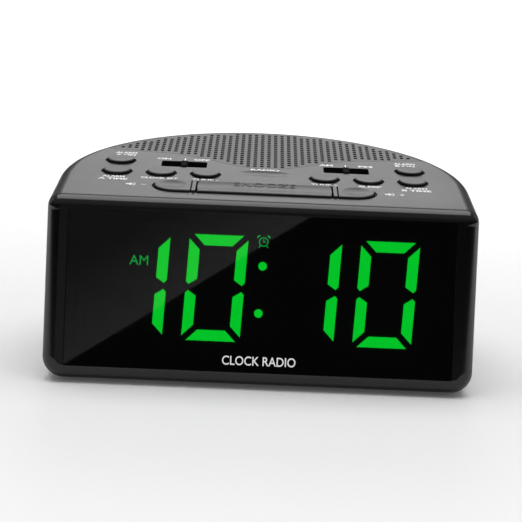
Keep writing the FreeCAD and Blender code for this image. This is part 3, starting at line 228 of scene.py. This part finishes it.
def moulded_surface():
    """Fine grain, slow unevenness and settled dust of a moulded plastic part."""
    group, given, out = new_group("moulded_surface", [
        ("Grain Scale", "NodeSocketFloat", 3000.0), ("Roughness", "NodeSocketFloat", 0.35),
        ("Unevenness", "NodeSocketFloat", 0.05), ("Dust", "NodeSocketFloat", 0.1),
    ], [("Height", "NodeSocketFloat"), ("Roughness", "NodeSocketFloat"), ("Dust", "NodeSocketFloat")])
    link = group.links.new
    place = node(group, "ShaderNodeTexCoord")
    grain = node(group, "ShaderNodeTexNoise", Detail=2.0, Roughness=0.6)
    link(place.outputs["Object"], grain.inputs["Vector"])
    link(given.outputs["Grain Scale"], grain.inputs["Scale"])
    link(grain.outputs["Fac"], out.inputs["Height"])
    clouds = node(group, "ShaderNodeTexNoise", Scale=38.0, Detail=4.0, Roughness=0.55)
    link(place.outputs["Object"], clouds.inputs["Vector"])
    spread = node(group, "ShaderNodeMath", operation="MULTIPLY_ADD")
    link(clouds.outputs["Fac"], spread.inputs[0])
    link(given.outputs["Unevenness"], spread.inputs[1])
    link(given.outputs["Roughness"], spread.inputs[2])
    link(spread.outputs[0], out.inputs["Roughness"])
    facing = node(group, "ShaderNodeNewGeometry")
    parts = node(group, "ShaderNodeSeparateXYZ")
    link(facing.outputs["Normal"], parts.inputs[0])
    up = node(group, "ShaderNodeMapRange", **{"From Min": 0.3, "From Max": 1.0})
    link(parts.outputs["Z"], up.inputs["Value"])
    specks = node(group, "ShaderNodeTexNoise", Scale=900.0, Detail=3.0, Roughness=0.7)
    link(place.outputs["Object"], specks.inputs["Vector"])
    sharp = node(group, "ShaderNodeMapRange", **{"From Min": 0.5, "From Max": 0.78})
    link(specks.outputs["Fac"], sharp.inputs["Value"])
    settled = node(group, "ShaderNodeMath", operation="MULTIPLY")
    link(up.outputs["Result"], settled.inputs[0])
    link(sharp.outputs["Result"], settled.inputs[1])
    amount = node(group, "ShaderNodeMath", operation="MULTIPLY")
    link(settled.outputs[0], amount.inputs[0])
    link(given.outputs["Dust"], amount.inputs[1])
    link(amount.outputs[0], out.inputs["Dust"])
    return group


def rolled_metal():
    """Fine drawn streaks and stains of plated sheet and wire."""
    group, given, out = new_group("rolled_metal", [
        ("Streak Scale", "NodeSocketFloat", 900.0), ("Roughness", "NodeSocketFloat", 0.3),
    ], [("Height", "NodeSocketFloat"), ("Roughness", "NodeSocketFloat"), ("Stain", "NodeSocketFloat")])
    link = group.links.new
    place = node(group, "ShaderNodeTexCoord")
    stretch = node(group, "ShaderNodeMapping", Scale=(1.0, 0.12, 1.0))
    link(place.outputs["Object"], stretch.inputs["Vector"])
    streaks = node(group, "ShaderNodeTexNoise", Detail=3.0, Roughness=0.6)
    link(stretch.outputs["Vector"], streaks.inputs["Vector"])
    link(given.outputs["Streak Scale"], streaks.inputs["Scale"])
    link(streaks.outputs["Fac"], out.inputs["Height"])
    spread = node(group, "ShaderNodeMath", operation="MULTIPLY_ADD")
    spread.inputs[1].default_value = 0.2
    link(streaks.outputs["Fac"], spread.inputs[0])
    link(given.outputs["Roughness"], spread.inputs[2])
    link(spread.outputs[0], out.inputs["Roughness"])
    stain = node(group, "ShaderNodeTexNoise", Scale=160.0, Detail=4.0)
    link(place.outputs["Object"], stain.inputs["Vector"])
    link(stain.outputs["Fac"], out.inputs["Stain"])
    return group


MOULDED = moulded_surface()
ROLLED = rolled_metal()


def new_material(name):
    material = bpy.data.materials.new(name)
    material.use_nodes = True
    tree = material.node_tree
    return material, tree, tree.nodes["Principled BSDF"]


def bumped(tree, height, shader, distance, strength=1.0):
    bump = node(tree, "ShaderNodeBump", Distance=distance, Strength=strength)
    tree.links.new(height, bump.inputs["Height"])
    tree.links.new(bump.outputs["Normal"], shader.inputs["Normal"])


def mixed(tree, mask, clean, other, shader, socket="Base Color"):
    mix = node(tree, "ShaderNodeMix", data_type="RGBA")
    mix.inputs["A"].default_value = (*clean, 1)
    mix.inputs["B"].default_value = (*other, 1)
    tree.links.new(mask, mix.inputs["Factor"])
    tree.links.new(mix.outputs["Result"], shader.inputs[socket])


def plastic(name, colour, roughness, grain=3000.0, depth=0.00001, unevenness=0.06, dust=0.12, shine=0.5):
    """Moulded plastic with grain, uneven gloss and a little dust."""
    material, tree, shader = new_material(name)
    surface = node(tree, "ShaderNodeGroup", node_tree=MOULDED)
    surface.inputs["Grain Scale"].default_value = grain
    surface.inputs["Roughness"].default_value = roughness
    surface.inputs["Unevenness"].default_value = unevenness
    surface.inputs["Dust"].default_value = dust
    mixed(tree, surface.outputs["Dust"], colour, [0.25 + 0.5 * part for part in colour], shader)
    tree.links.new(surface.outputs["Roughness"], shader.inputs["Roughness"])
    bumped(tree, surface.outputs["Height"], shader, depth)
    shader.inputs["Specular IOR Level"].default_value = shine
    return material


def metal(name, colour, roughness, scale=900.0, tarnish=0.35):
    """Plated or drawn metal with streaks and faint stains."""
    material, tree, shader = new_material(name)
    surface = node(tree, "ShaderNodeGroup", node_tree=ROLLED)
    surface.inputs["Streak Scale"].default_value = scale
    surface.inputs["Roughness"].default_value = roughness
    mixed(tree, surface.outputs["Stain"], colour, [part * (1 - tarnish) for part in colour], shader)
    shader.inputs["Metallic"].default_value = 1.0
    tree.links.new(surface.outputs["Roughness"], shader.inputs["Roughness"])
    bumped(tree, surface.outputs["Height"], shader, 0.000004)
    return material


def glowing(name, colour, strength, mottle=0.12):
    """A lit, slightly uneven translucent part; on the window's printed words the same glow is painted
    light.
    """
    material, tree, shader = new_material(name)
    place = node(tree, "ShaderNodeTexCoord")
    patches = node(tree, "ShaderNodeTexNoise", Scale=260.0, Detail=2.0)
    tree.links.new(place.outputs["Object"], patches.inputs["Vector"])
    dim = [part * (1 - mottle) for part in colour]
    mixed(tree, patches.outputs["Fac"], colour, dim, shader, "Emission Color")
    shader.inputs["Emission Strength"].default_value = strength
    shader.inputs["Base Color"].default_value = (*[0.3 * part for part in colour], 1)
    shader.inputs["Roughness"].default_value = 0.5
    return material


def smoked_acrylic(name, tint):
    """A tinted window that shows what glows behind it, with faint smears in its gloss."""
    material, tree, shader = new_material(name)
    surface = node(tree, "ShaderNodeGroup", node_tree=MOULDED)
    surface.inputs["Grain Scale"].default_value = 60.0
    surface.inputs["Roughness"].default_value = 0.0
    surface.inputs["Unevenness"].default_value = 0.035
    tree.links.new(surface.outputs["Roughness"], shader.inputs["Roughness"])
    shader.inputs["Base Color"].default_value = (*tint, 1)
    shader.inputs["Transmission Weight"].default_value = 1.0
    shader.inputs["IOR"].default_value = 1.49
    return material


case_black = plastic("case_black", (0.011, 0.011, 0.012), 0.30, 2600.0, 0.000012)
base_black = plastic("base_black", (0.013, 0.013, 0.014), 0.42, 1900.0, 0.00002)
bezel_black = plastic("bezel_black", (0.0006, 0.0006, 0.0007), 0.13, 2600.0, 0.000003, 0.03, 0.0)
key_black = plastic("key_black", (0.009, 0.009, 0.01), 0.31, 3200.0, 0.00001)
grille_black = plastic("grille_black", (0.024, 0.024, 0.025), 0.34, 2200.0, 0.000015)
slider_black = plastic("slider_black", (0.002, 0.002, 0.002), 0.7, 1500.0, 0.00002, dust=0.0, shine=0.06)
smoked_window = smoked_acrylic("smoked_window", (0.10, 0.104, 0.108))
module_black = plastic("module_black", (0.003, 0.003, 0.003), 0.7, 1500.0, 0.00001, dust=0.0)
unlit_black = plastic("unlit_black", (0.006, 0.007, 0.006), 0.6, 1500.0, 0.00001, dust=0.0)
foot_rubber = plastic("foot_rubber", (0.02, 0.02, 0.02), 0.75, 900.0, 0.00003, 0.15)
hidden_black = plastic("hidden_black", (0.02, 0.02, 0.021), 0.5, 1500.0, 0.00002)
solder_mask = plastic("solder_mask", (0.012, 0.11, 0.035), 0.35, 700.0, 0.00003, 0.2)
board_tan = plastic("board_tan", (0.35, 0.22, 0.1), 0.6, 700.0, 0.00003, 0.2)
ferrite = plastic("ferrite", (0.05, 0.05, 0.055), 0.55, 1300.0, 0.00004, 0.2)
cone_paper = plastic("cone_paper", (0.02, 0.02, 0.02), 0.9, 600.0, 0.00008, 0.1)
cell_sleeve = plastic("cell_sleeve", (0.05, 0.07, 0.13), 0.3, 500.0, 0.00001, 0.1)
cable_grey = plastic("cable_grey", (0.3, 0.3, 0.31), 0.5, 800.0, 0.00002, 0.2)
capacitor_blue = plastic("capacitor_blue", (0.02, 0.04, 0.1), 0.35, 800.0, 0.00001, 0.1)
zinc = metal("zinc", (0.62, 0.63, 0.65), 0.28)
pressed_steel = metal("pressed_steel", (0.5, 0.51, 0.52), 0.34, 600.0)
nickel = metal("nickel", (0.66, 0.64, 0.6), 0.22)
copper_wire = metal("copper_wire", (0.62, 0.27, 0.12), 0.3, 2500.0)
print_white = plastic("print_white", (0.9, 0.9, 0.9), 0.55, 4000.0, 0.000004, 0.1, dust=0.0)
# The window's white print is made to glow: painted light that brightens printed words, not a lamp.
window_print_painted_glow = glowing("window_print_painted_glow", (0.9, 0.9, 0.92), 0.6, 0.06)
foil_grey = metal("foil_grey", (0.55, 0.56, 0.57), 0.42, 1400.0, 0.12)
lit_green = glowing("lit_green", (0.0, 0.60, 0.022), 9.8)
dim_green = glowing("dim_green", (0.0, 0.55, 0.07), 5.5)

NODE_MATERIALS = {
    case_black: ("cabinet",), bezel_black: ("front_bezel",), base_black: ("base_cover", "battery_door"),
    grille_black: ("speaker_grille",), slider_black: ("power_knob", "band_knob"),
    smoked_window: ("display_window",), module_black: ("digit_module",), foot_rubber: ("rubber_feet",),
    zinc: ("case_screws", "key_board_screws", "speaker_screws", "display_screws", "board_screws"),
    pressed_steel: ("speaker_basket", "slide_switches"),
    nickel: ("dc_jack_pin", "battery_contacts", "crystal"), ferrite: ("speaker_magnet", "ferrite_rod"),
    cone_paper: ("speaker_cone", "speaker_dust_cap"), cell_sleeve: ("battery_cells",),
    solder_mask: ("main_board",), board_tan: ("key_board", "display_board"), copper_wire: ("antenna_coil",),
    cable_grey: ("ribbon_cable",), capacitor_blue: ("capacitors",),
    hidden_black: ("tact_switches", "dc_jack", "circuit_chips", "antenna_holders"),
}
wanted = {name: material for material, names in NODE_MATERIALS.items() for name in names}
for name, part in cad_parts.items():
    if name.endswith("_plunger"):
        material = hidden_black
    elif name.endswith("_key") or name == "snooze_bar":
        material = key_black
    else:
        material = wanted.get(name, unlit_black)
    part.data.materials.clear()
    part.data.materials.append(material)

# ---------------------------------------------------------------- lit digits

DIGIT_CENTRES = (-40.45, -14.95, 15.7, 41.15)
DIGIT_WIDTH, DIGIT_HEIGHT, DIGIT_DROP = 19.2, 34.8, 28.2
STROKE, STROKE_GAP, STROKE_WAIST, STROKE_RISE = 3.55, 1.5, 1.0, 0.4
SEGMENT_BASE = -3.6
SLANT = math.tan(math.radians(2.8))
UNTURNED = Matrix.Identity(4)
ONE = ("upper_right", "lower_right")
NOUGHT = ("top", "bottom", "upper_left", "upper_right", "lower_left", "lower_right")


def level_stroke():
    """The mitred stroke along the top of a digit, longer on its outer edge."""
    length = DIGIT_WIDTH - 2 * STROKE_GAP
    piece = flat_bar(length, STROKE)
    nudge(piece, lambda part: part.co.y < 0 and part.co.x < 0, STROKE, 0)
    nudge(piece, lambda part: part.co.y < 0 and part.co.x > 0, -STROKE, 0)
    raised_plate(piece, STROKE_RISE, 0.1)
    return settle(piece, at(UNTURNED, 0, (DIGIT_HEIGHT - STROKE) / 2))


def upright_stroke():
    """The upper right stroke of a digit: mitred at the corner and pointed at the waist."""
    high, low = DIGIT_HEIGHT / 2 - STROKE_GAP, STROKE_WAIST + STROKE / 4
    piece = settle(flat_bar(STROKE, high - low), at(UNTURNED, (DIGIT_WIDTH - STROKE) / 2, (high + low) / 2))
    middle_x, middle_y = piece.data.vertices[0].co.x + STROKE * MM / 2, (high + low) / 2 * MM
    nudge(piece, lambda part: part.co.x < middle_x and part.co.y > middle_y, 0, -STROKE)
    nudge(piece, lambda part: part.co.x < middle_x and part.co.y < middle_y, 0, STROKE / 4)
    pick(piece, lambda part: part.co.y < middle_y)
    bpy.ops.mesh.subdivide(number_cuts=1)
    done(piece)
    foot = (low + STROKE / 8) * MM
    nudge(piece, lambda part: abs(part.co.y - foot) < 0.1 * MM, STROKE / 4, -3 * STROKE / 8)
    return raised_plate(piece, STROKE_RISE, 0.1)


def middle_stroke():
    """The stroke across the waist of a digit, pointed at both ends."""
    clear_selection()
    bpy.ops.mesh.primitive_circle_add(vertices=6, radius=STROKE * MM / math.sqrt(3), fill_type="NGON")
    piece = bpy.context.object
    shoulder = DIGIT_WIDTH / 2 - 1.1 * STROKE - STROKE / math.sqrt(12)
    for side in (-1, 1):
        nudge(piece, lambda part: part.co.y * side > 0, 0, side * shoulder)
    raised_plate(piece, STROKE_RISE, 0.1)
    return settle(piece, Matrix.Rotation(math.pi / 2, 4, "Z"))


def colon_dot():
    clear_selection()
    bpy.ops.mesh.primitive_circle_add(vertices=32, radius=1.4 * MM, fill_type="NGON")
    return raised_plate(bpy.context.object, STROKE_RISE, 0.1)


lean_over = UNTURNED.copy()
lean_over[0][1] = SLANT
upright, level, middle = upright_stroke(), level_stroke(), middle_stroke()
STROKES = {
    "top": (level, 1, 1), "bottom": (level, 1, -1), "middle": (middle, 1, 1),
    "upper_left": (upright, -1, 1), "upper_right": (upright, 1, 1),
    "lower_left": (upright, -1, -1), "lower_right": (upright, 1, -1),
}
lit, unlit = [], []
for centre, shown in zip(DIGIT_CENTRES, (ONE, NOUGHT, ONE, NOUGHT)):
    for stroke_name, (pattern, across, up) in STROKES.items():
        stroke = copy_of(pattern, "stroke")
        on_digit = lean_over @ Matrix.Diagonal((across, up, 1, 1))
        settle(stroke, at(FACE, centre, -DIGIT_DROP, SEGMENT_BASE) @ on_digit)
        if across * up < 0:
            stroke.data.flip_normals()
        (lit if stroke_name in shown else unlit).append(stroke)
dot = colon_dot()
for drop in (20.45, 35.95):
    x = (DIGIT_DROP - drop) * SLANT
    lit.append(settle(copy_of(dot, "colon"), at(FACE, x, -drop, SEGMENT_BASE)))
for pattern in (upright, level, middle, dot):
    discard(pattern)
lit_digits = finish_piece(joined("lit_digits", lit), lit_green, "housing")
unlit_strokes = finish_piece(joined("unlit_strokes", unlit), unlit_black, "housing")
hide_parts("digit_segments")

# ---------------------------------------------------------------- small lit signs behind the window

SIGN_BASE = -3.58


def ring(radius, band, thickness, count=48):
    """A flat ring."""
    clear_selection()
    bpy.ops.mesh.primitive_circle_add(vertices=count, radius=radius * MM, fill_type="NGON")
    piece = bpy.context.object
    pick(piece, lambda part: True, "FACE")
    bpy.ops.mesh.inset(thickness=band * MM)
    bpy.ops.mesh.delete(type="FACE")
    return raised_plate(done(piece), thickness, 0.0)


def alarm_sign():
    """A small alarm clock: ring, hands, two bells and two feet."""
    parts = [ring(1.55, 0.32, 0.15)]
    parts.append(settle(bar(0.95, 0.28, 0.15), at(UNTURNED, 0, 0.4, 0, 90)))
    parts.append(settle(bar(0.8, 0.28, 0.15), at(UNTURNED, 0.32, -0.05)))
    for side in (-1, 1):
        clear_selection()
        bpy.ops.mesh.primitive_circle_add(vertices=24, radius=0.75 * MM, fill_type="NGON")
        bell = bpy.context.object
        pick(bell, lambda part: True)
        bpy.ops.mesh.bisect(plane_co=(0, 0.12 * MM, 0), plane_no=(0, 1, 0), clear_inner=True)
        raised_plate(done(bell), 0.15, 0.0)
        parts.append(settle(bell, at(UNTURNED, side * 1.42, 1.42, 0, -side * 42)))
        parts.append(settle(bar(0.8, 0.3, 0.15), at(UNTURNED, side * 1.25, -1.55, 0, -side * 55)))
    return joined("alarm_sign", parts)


finish_piece(settle(alarm_sign(), at(FACE, 0.4, -12.5, SIGN_BASE)), dim_green, "housing")
finish_piece(settle(lettering("AM", 3.2, 6.1, 0.15), at(FACE, -40.1, -20.05, SIGN_BASE)), dim_green,
             "housing")

mask = flat_bar(126.6, 51.3)
pick(mask, lambda part: True, "FACE")
bpy.ops.mesh.inset(thickness=3.4 * MM)
bpy.ops.mesh.delete(type="FACE")
mask = settle(raised_plate(done(mask), 0.05, 0.0), at(FACE, 0, -29.53, -2.87))
mask.name = "window_mask"
finish_piece(mask, module_black, "housing")

# ---------------------------------------------------------------- printing

LENS_FRONT = -1.0
PRINT = 0.02                     # thickness of printing
LABEL_HEIGHT = 1.9
BOLD = 0.11


def printed(name, words, height, plane, x, y, z=0.0, width=None, weight=0.0, ink=print_white):
    label = settle(lettering(words, height, width, PRINT, weight), at(plane, x, y, z))
    label.name = name
    return finish_piece(label, ink, "housing")


# CLOCK RADIO is printed in a glowing material, which paints light on to the words.
printed("window_words", "CLOCK RADIO", 2.9, FACE, 0.4, -51.5, LENS_FRONT, 24.0, 0.03, window_print_painted_glow)
DECK_LABELS = [                  # name, words, place across and along the deck, width
    ("clock_words", "CLOCK SET", -35.9, 26.6, 12.6), ("tune_down_words", "TUNE -", -20.3, 26.5, 9.0),
    ("tune_up_words", "TUNE +", 20.3, 26.5, 9.0), ("sleep_words", "SLEEP", 35.9, 26.5, 8.0),
    ("radio_words", "RADIO", 0.0, 43.0, 10.0),
    ("switch_on_words", "ON", -36.0, 53.4, 5.0), ("switch_off_words", "OFF", -22.6, 53.4, 5.6),
    ("switch_am_words", "AM", 21.6, 53.4, 5.0), ("switch_fm_words", "FM", 35.6, 53.4, 5.0),
]
for side, letter in ((-1, "A"), (1, "B")):
    DECK_LABELS += [
        (f"alarm_{letter}_words", "ALARM", side * 50.0, 59.6, 7.6),
        (f"alarm_{letter}_more_words", f"{letter} ON", side * 50.0, 56.6, 7.0),
        (f"time_{letter}_words", "ALARM", side * 51.5, 26.6, 7.6),
        (f"time_{letter}_more_words", f"{letter} TIME", side * 51.5, 23.6, 10.0),
    ]
for name, words, x, y, width in DECK_LABELS:
    printed(name, words, LABEL_HEIGHT, DECK, x, y, width=width, weight=BOLD)
for side in (-1, 1):
    mark = settle(bar(3.2, 0.45, PRINT), at(DECK, side * 28.5, 53.2, 0, 90))
    mark.name = "switch_mark_left" if side < 0 else "switch_mark_right"
    finish_piece(mark, print_white, "housing")


def volume_sign(plus):
    """A loudspeaker with two sound waves, and a plus or minus beside it."""
    clear_selection()
    bpy.ops.mesh.primitive_plane_add(size=0.7 * MM)
    horn = bpy.context.object
    pick(horn, lambda part: part.co.x > 0)
    bpy.ops.mesh.extrude_edges_move(TRANSFORM_OT_translate={"value": (0.7 * MM, 0, 0)})
    bpy.ops.transform.resize(value=(1, 2.6, 1))
    parts = [raised_plate(done(horn), PRINT, 0.0)]
    for radius in (0.75, 1.25):
        wave = ring(radius, 0.2, PRINT, 32)
        pick(wave, lambda part: True)
        bpy.ops.mesh.bisect(plane_co=(radius * 0.55 * MM, 0, 0), plane_no=(1, 0, 0), clear_inner=True,
                            use_fill=True)
        parts.append(settle(done(wave), at(UNTURNED, 0.8, 0)))
    parts.append(settle(bar(1.2, 0.32, PRINT), at(UNTURNED, 4.0, 0)))
    if plus:
        parts.append(settle(bar(1.2, 0.32, PRINT), at(UNTURNED, 4.0, 0, 0, 90)))
    return joined("volume_sign", parts)


for side, name in ((-1, "quieter_sign"), (1, "louder_sign")):
    sign = volume_sign(side > 0)
    settle(sign, at(DECK, side * 43.4 - 2.6, 17.6) @ Matrix.Diagonal((1.35, 1.7, 1, 1)))
    sign.name = name
    finish_piece(sign, print_white, "housing")

# ---------------------------------------------------------------- round the power socket

CASE_RADIUS, CASE_BACK, JACK_RISE = 70.6, 55.5, 14.8


def round_the_back(name, mark, rise):
    """Wrap a flat mark on to the half-round back of the case."""
    for spot in mark.data.vertices:
        side, up, proud = spot.co / MM
        angle = side / CASE_RADIUS
        reach = CASE_RADIUS + proud
        spot.co = Vector((-reach * math.sin(angle), CASE_BACK - CASE_RADIUS + reach * math.cos(angle),
                          rise + up)) * MM
    mark.name = name
    return finish_piece(mark, print_white, "housing")


def polarity_sign():
    """A socket seen end on, with its minus sleeve and plus pin."""
    line, thin, reach = 0.25, 0.22, 3.8
    parts = [ring(1.3, line, PRINT)]
    for length, x in ((1.6, 0.8), (1.6, -2.1), (1.3, 2.2)):
        parts.append(settle(bar(length, line, PRINT), at(UNTURNED, x, 0)))
    for side in (-1, 1):
        parts.append(settle(ring(0.9, thin, PRINT, 32), at(UNTURNED, side * reach, 0)))
        parts.append(settle(bar(0.8, thin, PRINT), at(UNTURNED, side * reach, 0)))
    parts.append(settle(bar(0.8, thin, PRINT), at(UNTURNED, reach, 0, 0, 90)))
    return joined("polarity", parts)


round_the_back("socket_words", lettering("DC IN", 2.0, 8.4, PRINT, BOLD), JACK_RISE + 10.0)
round_the_back("polarity_sign", polarity_sign(), JACK_RISE + 6.6)

# ---------------------------------------------------------------- underside

door_low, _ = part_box("battery_door")
DOOR_FRONT = -door_low[1] / MM
ridges = [settle(bar(13.0 - 1.4 * step, 0.7, 0.3, 0.12), at(BELOW, 0, DOOR_FRONT - 5.5 - 1.5 * step))
          for step in range(5)]
finish_piece(joined("door_grip_ridges", ridges), base_black, "battery_hatch")
clear_selection()
bpy.ops.mesh.primitive_circle_add(vertices=3, radius=1.7 * MM, fill_type="NGON")
arrow = settle(raised_plate(bpy.context.object, 0.25, 0.08), at(BELOW, 0, DOOR_FRONT - 14.6))
arrow.name = "door_arrow"
finish_piece(arrow, base_black, "battery_hatch")


def rounded_sheet(name, length, width, corner, thickness, edge, spot):
    """A thin plate with rounded corners."""
    sheet = flat_bar(length, width)
    pick(sheet, lambda part: True)
    bpy.ops.mesh.bevel(offset=corner * MM, segments=6, affect="VERTICES")
    sheet = settle(raised_plate(done(sheet), thickness, edge), spot)
    sheet.name = name
    return sheet


PLATE_ROW, PLATE_THICKNESS = -9.0, 0.08
plate = rounded_sheet("blank_plate", 46.0, 24.0, 2.0, PLATE_THICKNESS, 0.02, at(BELOW, 0, PLATE_ROW))
finish_piece(plate, foil_grey, "housing")
BORDER_LENGTH, BORDER_WIDTH, BORDER_LINE = 41.0, 19.0, 0.25
border = [settle(bar(length, BORDER_LINE, PRINT), at(BELOW, x, y + PLATE_ROW, PLATE_THICKNESS, turn))
          for length, x, y, turn in ((BORDER_LENGTH, 0, BORDER_WIDTH / 2, 0),
                                     (BORDER_LENGTH, 0, -BORDER_WIDTH / 2, 0),
                                     (BORDER_WIDTH + BORDER_LINE, -BORDER_LENGTH / 2, 0, 90),
                                     (BORDER_WIDTH + BORDER_LINE, BORDER_LENGTH / 2, 0, 90))]
finish_piece(joined("blank_plate_border", border), hidden_black, "housing")

SCREW_HEAD_RISE = 4.0            # screw heads above the underside, in their recesses
SCREW_SPOTS = ((-61, -28), (61, -28), (-44, 26), (44, 26))
# Flat near-black crosses on the screw heads: painted shade standing in for the hollow cross recesses.
painted_cross_shades = [settle(bar(2.9, 0.62, 0.04), at(BELOW, x, -y, -SCREW_HEAD_RISE, turn))
           for x, y in SCREW_SPOTS for turn in (20, 110)]
finish_piece(joined("screw_cross_painted_shade", painted_cross_shades), slider_black, "housing")

# ---------------------------------------------------------------- raised word on the bar

BAR_ROW, BAR_TOP, TROUGH_RADIUS, TROUGH_DEPTH = 17.2, 0.7, 34.0, 0.35
raised = settle(lettering("SNOOZE", 3.4, 20.6, 0.12, 0.03), at(UNTURNED, 0, 20.6 - BAR_ROW, -0.01))
for spot in raised.data.vertices:
    from_middle = spot.co.y / MM
    rise = TROUGH_RADIUS - math.sqrt(TROUGH_RADIUS ** 2 - from_middle ** 2) - TROUGH_DEPTH
    spot.co.z += min(rise, 0.0) * MM
settle(raised, at(DECK, 0, BAR_ROW, BAR_TOP))
raised.name = "snooze_letters"
finish_piece(raised, key_black, "snooze")

# ---------------------------------------------------------------- studio


def paint(name, colour, roughness):
    material, tree, shader = new_material(name)
    shader.inputs["Base Color"].default_value = (*colour, 1)
    shader.inputs["Roughness"].default_value = roughness
    shader.inputs["Emission Color"].default_value = (*colour, 1)
    return material


def card(name, size, place, tilt, material):
    """A flat studio card, facing along its own Z before it is tilted about X."""
    clear_selection()
    bpy.ops.mesh.primitive_plane_add(size=1.0)
    piece = bpy.context.object
    piece.name = name
    turn = Matrix.Rotation(math.radians(tilt), 4, "X")
    piece.data.transform(Matrix.Translation(place) @ turn @ Matrix.Diagonal((size[0], size[1], 1, 1)))
    piece.data.materials.append(material)
    return piece


floor = card("floor", (30.0, 30.0), (0, 0, 0), 0, paint("floor_white", (0.86, 0.86, 0.86), 0.55))


def finish_floor(tree):
    """The floor glows more the further it is from the radio, and is clear seen from underneath."""
    shader, out = tree.nodes["Principled BSDF"], tree.nodes["Material Output"]
    place = tree.nodes.new("ShaderNodeTexCoord")
    distance = node(tree, "ShaderNodeVectorMath", operation="LENGTH")
    glow = node(tree, "ShaderNodeMapRange",
                **{"From Min": 0.12, "From Max": 1.2, "To Min": 0.06, "To Max": 0.9})
    tree.links.new(place.outputs["Object"], distance.inputs[0])
    tree.links.new(distance.outputs["Value"], glow.inputs["Value"])
    tree.links.new(glow.outputs["Result"], shader.inputs["Emission Strength"])
    below = tree.nodes.new("ShaderNodeNewGeometry")
    clear = tree.nodes.new("ShaderNodeBsdfTransparent")
    either = tree.nodes.new("ShaderNodeMixShader")
    tree.links.new(below.outputs["Backfacing"], either.inputs["Fac"])
    tree.links.new(shader.outputs["BSDF"], either.inputs[1])
    tree.links.new(clear.outputs["BSDF"], either.inputs[2])
    tree.links.new(either.outputs["Shader"], out.inputs["Surface"])


finish_floor(floor.data.materials[0].node_tree)

# A grey card in front, cut on the slant, that the window mirrors as a soft diagonal.
CARD_DISTANCE = 1.5
CARD_SLANT = (-0.55, 0.0, 0.835)
mirrored = card("slanted_card", (0.9, 0.62), (0.0, -CARD_DISTANCE, 0.2), 90,
                paint("card_grey", (0.1, 0.1, 0.1), 0.9))
pick(mirrored, lambda part: True)
bpy.ops.mesh.bisect(plane_co=(-0.228, -CARD_DISTANCE, 0.081), plane_no=CARD_SLANT, clear_inner=True)
done(mirrored)
card_tree = mirrored.data.materials[0].node_tree
where = card_tree.nodes.new("ShaderNodeTexCoord")
slant = node(card_tree, "ShaderNodeVectorMath", operation="DOT_PRODUCT")
slant.inputs[1].default_value = CARD_SLANT
fade = node(card_tree, "ShaderNodeMapRange",
            **{"From Min": 0.193, "From Max": 0.29, "To Min": 2.6, "To Max": 0.3})
card_tree.links.new(where.outputs["Object"], slant.inputs[0])
card_tree.links.new(slant.outputs["Value"], fade.inputs["Value"])
card_tree.links.new(fade.outputs["Result"], card_tree.nodes["Principled BSDF"].inputs["Emission Strength"])
for seen in ("visible_camera", "visible_diffuse", "visible_shadow", "visible_transmission"):
    setattr(mirrored, seen, False)


def soft_light(name, size, place, aim, radiance):
    """An even rectangular light of a given brightness, kept out of sight of the camera."""
    lamp = bpy.data.lights.new(name, "AREA")
    lamp.shape = "RECTANGLE"
    lamp.size, lamp.size_y = size
    lamp.energy = radiance * math.pi * size[0] * size[1]
    holder = bpy.data.objects.new(name, lamp)
    bpy.context.scene.collection.objects.link(holder)
    holder.location = place
    holder.rotation_mode = "QUATERNION"
    holder.rotation_quaternion = (Vector(aim) - Vector(place)).to_track_quat("-Z", "Y")
    holder.visible_camera = False
    return holder


soft_light("overhead", (2.0, 1.5), (0, 0.15, 1.8), (0, 0, 0), 2.9)
soft_light("behind_deck", (0.74, 0.62), (0, 1.7, 0.86), (0, 0, 0.06), 1.66)
soft_light("left_side", (0.7, 0.9), (-1.6, 0.5, 0.7), (0, 0, 0.04), 0.5)
soft_light("right_side", (0.7, 0.9), (1.6, 0.5, 0.7), (0, 0, 0.04), 0.5)

# Room light: pale where it is looked at, dim in front of the radio and brighter behind it.
world = bpy.data.worlds.new("studio")
world.use_nodes = True
tree = world.node_tree
heading = tree.nodes.new("ShaderNodeTexCoord")
parts = tree.nodes.new("ShaderNodeSeparateXYZ")
front_to_back = node(tree, "ShaderNodeMapRange",
                     **{"From Min": -0.75, "From Max": 0.3, "To Min": 0.03, "To Max": 0.12})
low_to_high = node(tree, "ShaderNodeMapRange",
                   **{"From Min": 0.25, "From Max": 0.6, "To Min": 0.0, "To Max": 0.3})
total = node(tree, "ShaderNodeMath", operation="ADD")
seen = tree.nodes.new("ShaderNodeLightPath")
strength = node(tree, "ShaderNodeMix", data_type="FLOAT")
strength.inputs["B"].default_value = 1.0
tree.links.new(heading.outputs["Generated"], parts.inputs[0])
tree.links.new(parts.outputs["Y"], front_to_back.inputs["Value"])
tree.links.new(parts.outputs["Z"], low_to_high.inputs["Value"])
tree.links.new(front_to_back.outputs["Result"], total.inputs[0])
tree.links.new(low_to_high.outputs["Result"], total.inputs[1])
tree.links.new(total.outputs[0], strength.inputs["A"])
tree.links.new(seen.outputs["Is Camera Ray"], strength.inputs["Factor"])
tree.links.new(strength.outputs["Result"], tree.nodes["Background"].inputs["Strength"])
tree.nodes["Background"].inputs["Color"].default_value = (1, 1, 1, 1)
bpy.context.scene.world = world
bpy.context.scene.view_settings.view_transform = "Standard"
